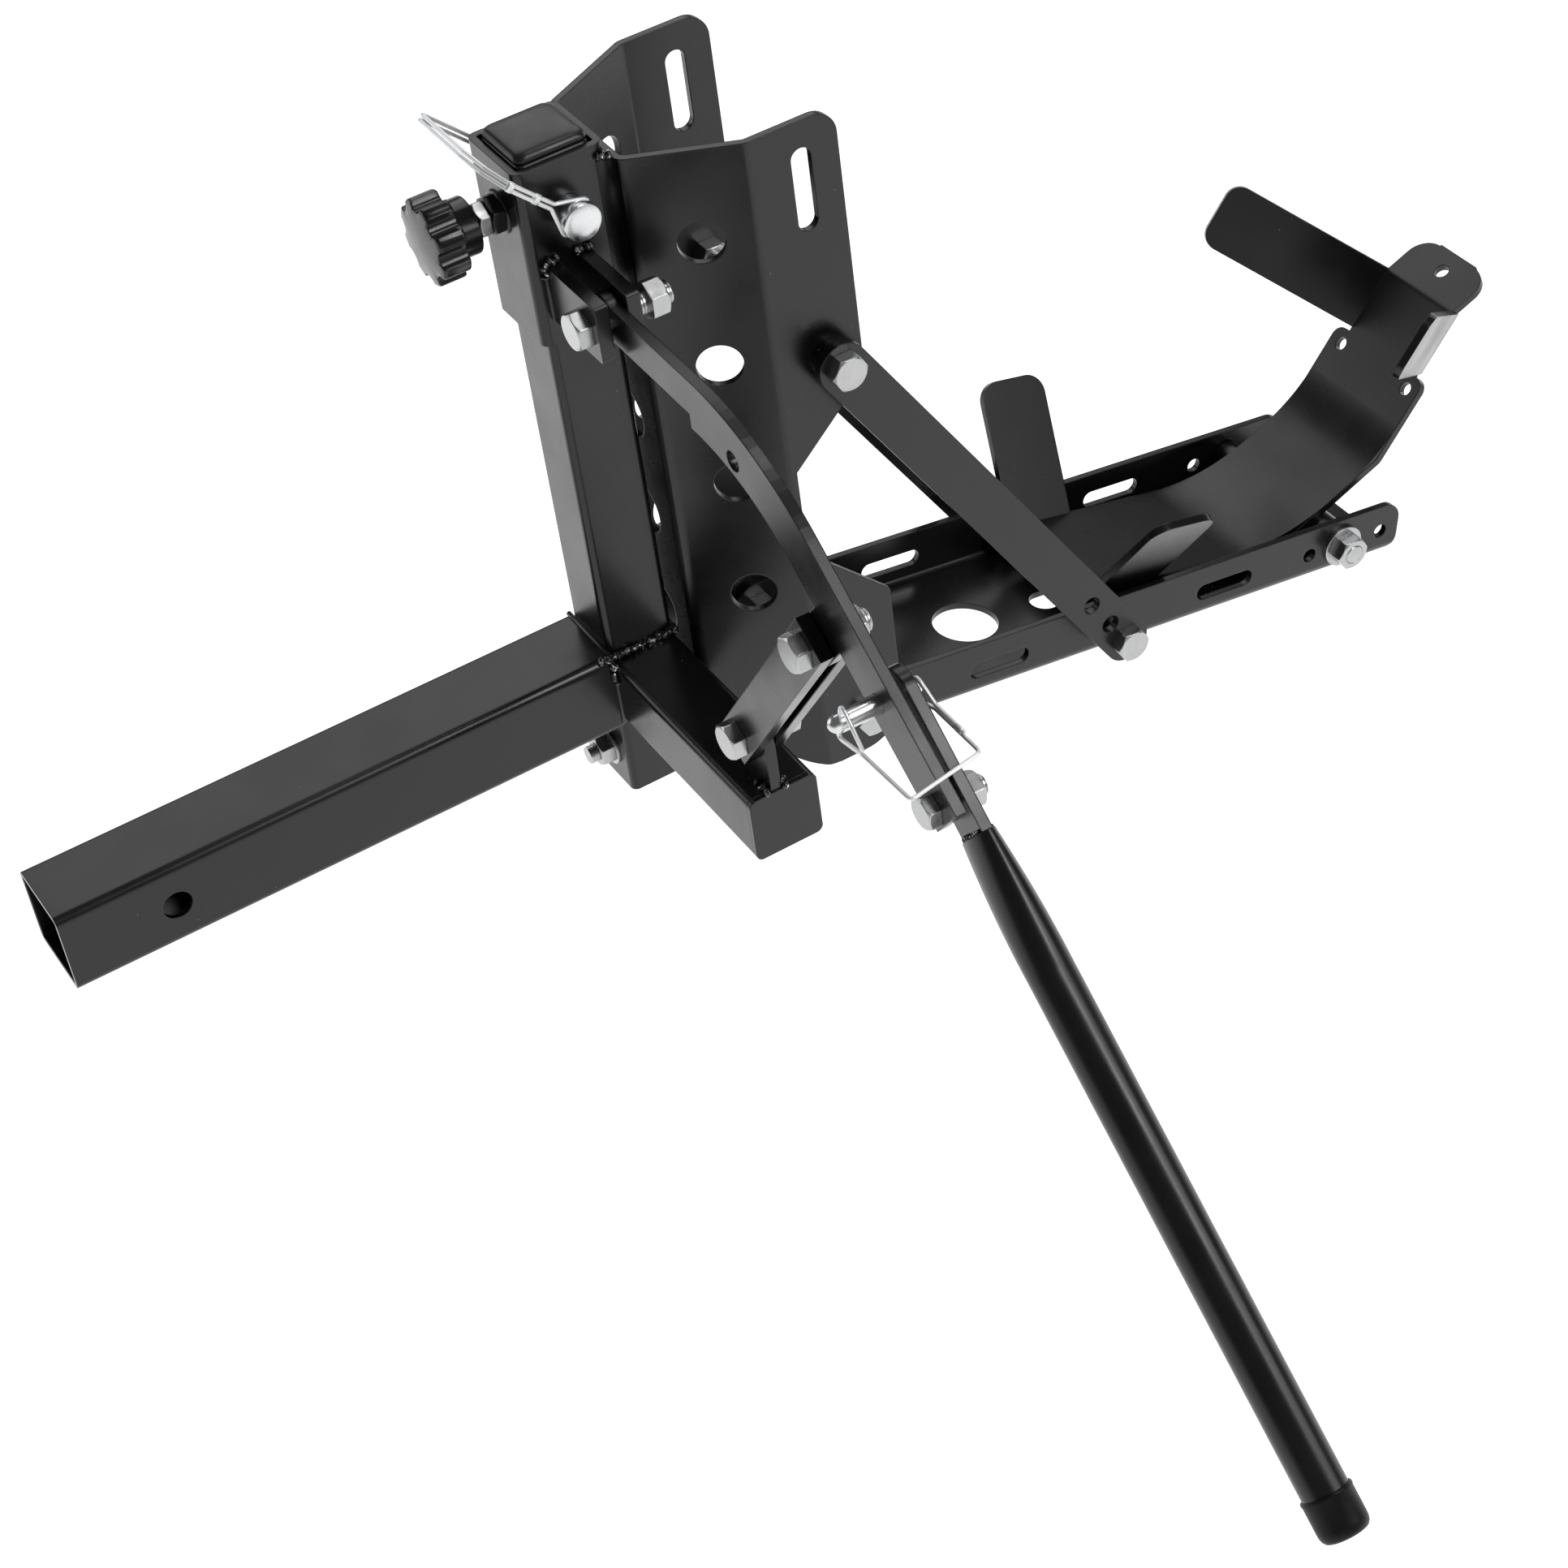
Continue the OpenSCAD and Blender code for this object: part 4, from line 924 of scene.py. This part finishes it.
def chock_bends():
    """The soft insides of the chock's two bends."""
    parts = []
    for place, low_turn, high_turn, reach in CHOCK_BENDS:
        crease = Vector((place, CHOCK_SEAT))
        start, end = [
            crease + reach * Vector((math.cos(math.radians(turn)), math.sin(math.radians(turn))))
            for turn in (low_turn, high_turn)]
        section = [crease - Vector((0, BEND_SINK))] + soft_corner(start, crease, end, BEND_STEPS)
        rings = [[chock_spot(p.x, y, p.y) for p in section] for y in (-CHOCK_HALF, CHOCK_HALF)]
        parts.append(skin_rings("chock_bends", rings))
    add_piece("chock_bends", joined("chock_bends", parts), BEND_COAT, "chock")


chock_bends()

CHOCK_WELDS = [
    [chock_spot(x, y, CHOCK_WELD_Z) for y in (-CHOCK_WELD_HALF, CHOCK_WELD_HALF)] for x in (-4.6, 4.6)
]
add_seams("base_seams", "base", BASE_SEAMS)
add_seams("carriage_seams", "carriage", CARRIAGE_SEAMS)
add_welds("junction_welds", "base", JUNCTION_WELDS, throat=2.5 * MM, seed=3, spacing=0.85, wander=0.5)
add_welds("tab_welds", "base", TAB_WELDS, throat=2.3 * MM, seed=4, spacing=1.0, wander=0.35)
add_welds("lug_welds", "carriage", LUG_WELDS, throat=2.3 * MM, seed=5, spacing=0.9, wander=0.4)
add_welds("chock_welds", "chock", CHOCK_WELDS, throat=2.0 * MM, seed=7)
add_welds("mouth_welds", "lever", MOUTH_WELDS, throat=1.3 * MM, seed=9, spacing=1.3, wander=0.5)


def add_threads(name, body, spots, radius, length):
    """Thread ridges on bolt ends; radius and length in mm."""
    values = {"Radius": (radius - THREAD_SINK) * MM, "Length": length * MM, "Pitch": THREAD_PITCH}
    data = SCREW_THREAD.grow(name, guide_points(name, spots), values)
    add_piece(name, data, None, body)


MAIN_BOLT_RADIUS, SMALL_BOLT_RADIUS = 6, 5
BOLT_END = 3.0


def bolt_ends():
    out_x, out_y = AXES["x"], AXES["y"]
    add_threads("carriage_bolt_threads", "carriage", [
        (mm(26.5, LEVER_BOLT_Y, LEVER_BOLT_Z), out_x), (mm(-9.3, LEVER_BOLT_Y, LEVER_BOLT_Z), out_x),
        (mm(112, -49.25, 181), out_y), (mm(112, 49.25, 181), -out_y),
        (mm(109, -45.25, -59), out_y), (mm(109, 45.25, -59), -out_y),
    ], MAIN_BOLT_RADIUS, BOLT_END)
    add_threads("lever_bolt_thread", "carriage", [
        (mm(8.4, LEVER_BOLT_Y, LEVER_BOLT_Z), out_x),
    ], MAIN_BOLT_RADIUS, length=7.6)
    add_threads("link_bolt_threads", "links", [
        (mm(18.2, -152, 54), out_x), (mm(18.2, -236.5, 167.5), out_x),
    ], MAIN_BOLT_RADIUS, BOLT_END)
    add_threads("handle_bolt_threads", "lever", [
        (mm(18.7, HANDLE_BOLT_Y, HANDLE_BOLT_Z), out_x),
    ], SMALL_BOLT_RADIUS, length=2.2)
    add_threads("guide_bolt_threads", "base", [
        (mm(-30.2, 0, -54), -out_x),
    ], SMALL_BOLT_RADIUS, length=4.2)


bolt_ends()


# Floor, light and background

FLOOR_DROP = 0.30
FLOOR_REACH = 16.0
FLOOR_COLOUR = 0.84
FLOOR_LIFT = 0.76
WORLD_LEVEL = 0.14


def seen_share(net):
    """1 for a ray that the camera sees straight, by reflection or through glass."""
    path = net.add("ShaderNodeLightPath")
    seen = path.out("Is Camera Ray") + path.out("Is Glossy Ray") + path.out("Is Transmission Ray")
    return seen > 0.5


def add_floor():
    net = Net(bpy.data.materials.new("pale_floor"))
    place = object_place(net)
    tone = net.mix(net.noise(place, scale=3), grey(FLOOR_COLOUR), grey(FLOOR_COLOUR + 0.01))
    matt = net.add("ShaderNodeBsdfDiffuse", None, {"Color": tone})
    lift = net.add("ShaderNodeEmission", None, {
        "Color": grey(1.0), "Strength": seen_share(net) * FLOOR_LIFT})
    both = net.add("ShaderNodeAddShader", None, {0: matt, 1: lift})
    net.add("ShaderNodeOutputMaterial", None, {"Surface": both})
    build = bmesh.new()
    bmesh.ops.create_grid(build, x_segments=2, y_segments=2, size=FLOOR_REACH)
    data = bpy.data.meshes.new("floor")
    build.to_mesh(data)
    build.free()
    data.materials.append(net.owner)
    floor = bpy.data.objects.new("floor", data)
    floor.location.z = cad_box[0][2] - FLOOR_DROP
    bpy.context.scene.collection.objects.link(floor)


def add_world():
    world = bpy.data.worlds.new("studio")
    bpy.context.scene.world = world
    net = Net(world)
    sky = net.add("ShaderNodeBackground", None, {"Color": grey(1.0), "Strength": WORLD_LEVEL})
    net.add("ShaderNodeOutputWorld", None, {"Surface": sky})


def add_lamp(name, place, aim, width, height, power):
    data = bpy.data.lights.new(name, "AREA")
    data.shape = "RECTANGLE"
    data.size = width
    data.size_y = height
    data.energy = power
    lamp = bpy.data.objects.new(name, data)
    way = Vector(aim) - Vector(place)
    lamp.matrix_world = Matrix.Translation(place) @ way.to_track_quat("-Z", "Y").to_matrix().to_4x4()
    bpy.context.scene.collection.objects.link(lamp)


# Name, place, point that it faces, width and height in metres, and power in watts
SOFTBOXES = [
    ("back_softbox", (1.1, 1.7, 1.8), (0.25, -0.05, 0.05), 2.4, 1.9, 20),
    ("left_back_softbox", (-1.35, 2.0, 0.75), (0.7, 0, 0), 1.8, 1.2, 12),
    ("front_softbox", (1.11, -1.78, 1.73), (0.3, -0.2, 0.1), 0.42, 1.3, 19),
    ("low_front_softbox", (1.73, -1.81, 1.0), (0.65, 0.08, 0), 0.8, 0.8, 6),
    ("left_front_softbox", (-0.40, -2.35, 0.15), (0.8, 0.07, 0.05), 1.4, 0.9, 3),
    ("right_softbox", (2.7, 0.5, 0.35), (0.4, -0.1, 0.0), 0.7, 1.6, 5.6),
    ("floor_softbox", (-0.10, 0.86, -0.05), (-0.10, 0.861, -1.0), 0.6, 0.5, 0.8),
    ("top_softbox", (1.0, -0.05, 2.4), (0.3, -0.05, 0.05), 0.5, 0.5, 4),
]

add_floor()
add_world()
for softbox in SOFTBOXES:
    add_lamp(*softbox)

bpy.context.scene.view_settings.view_transform = "Standard"
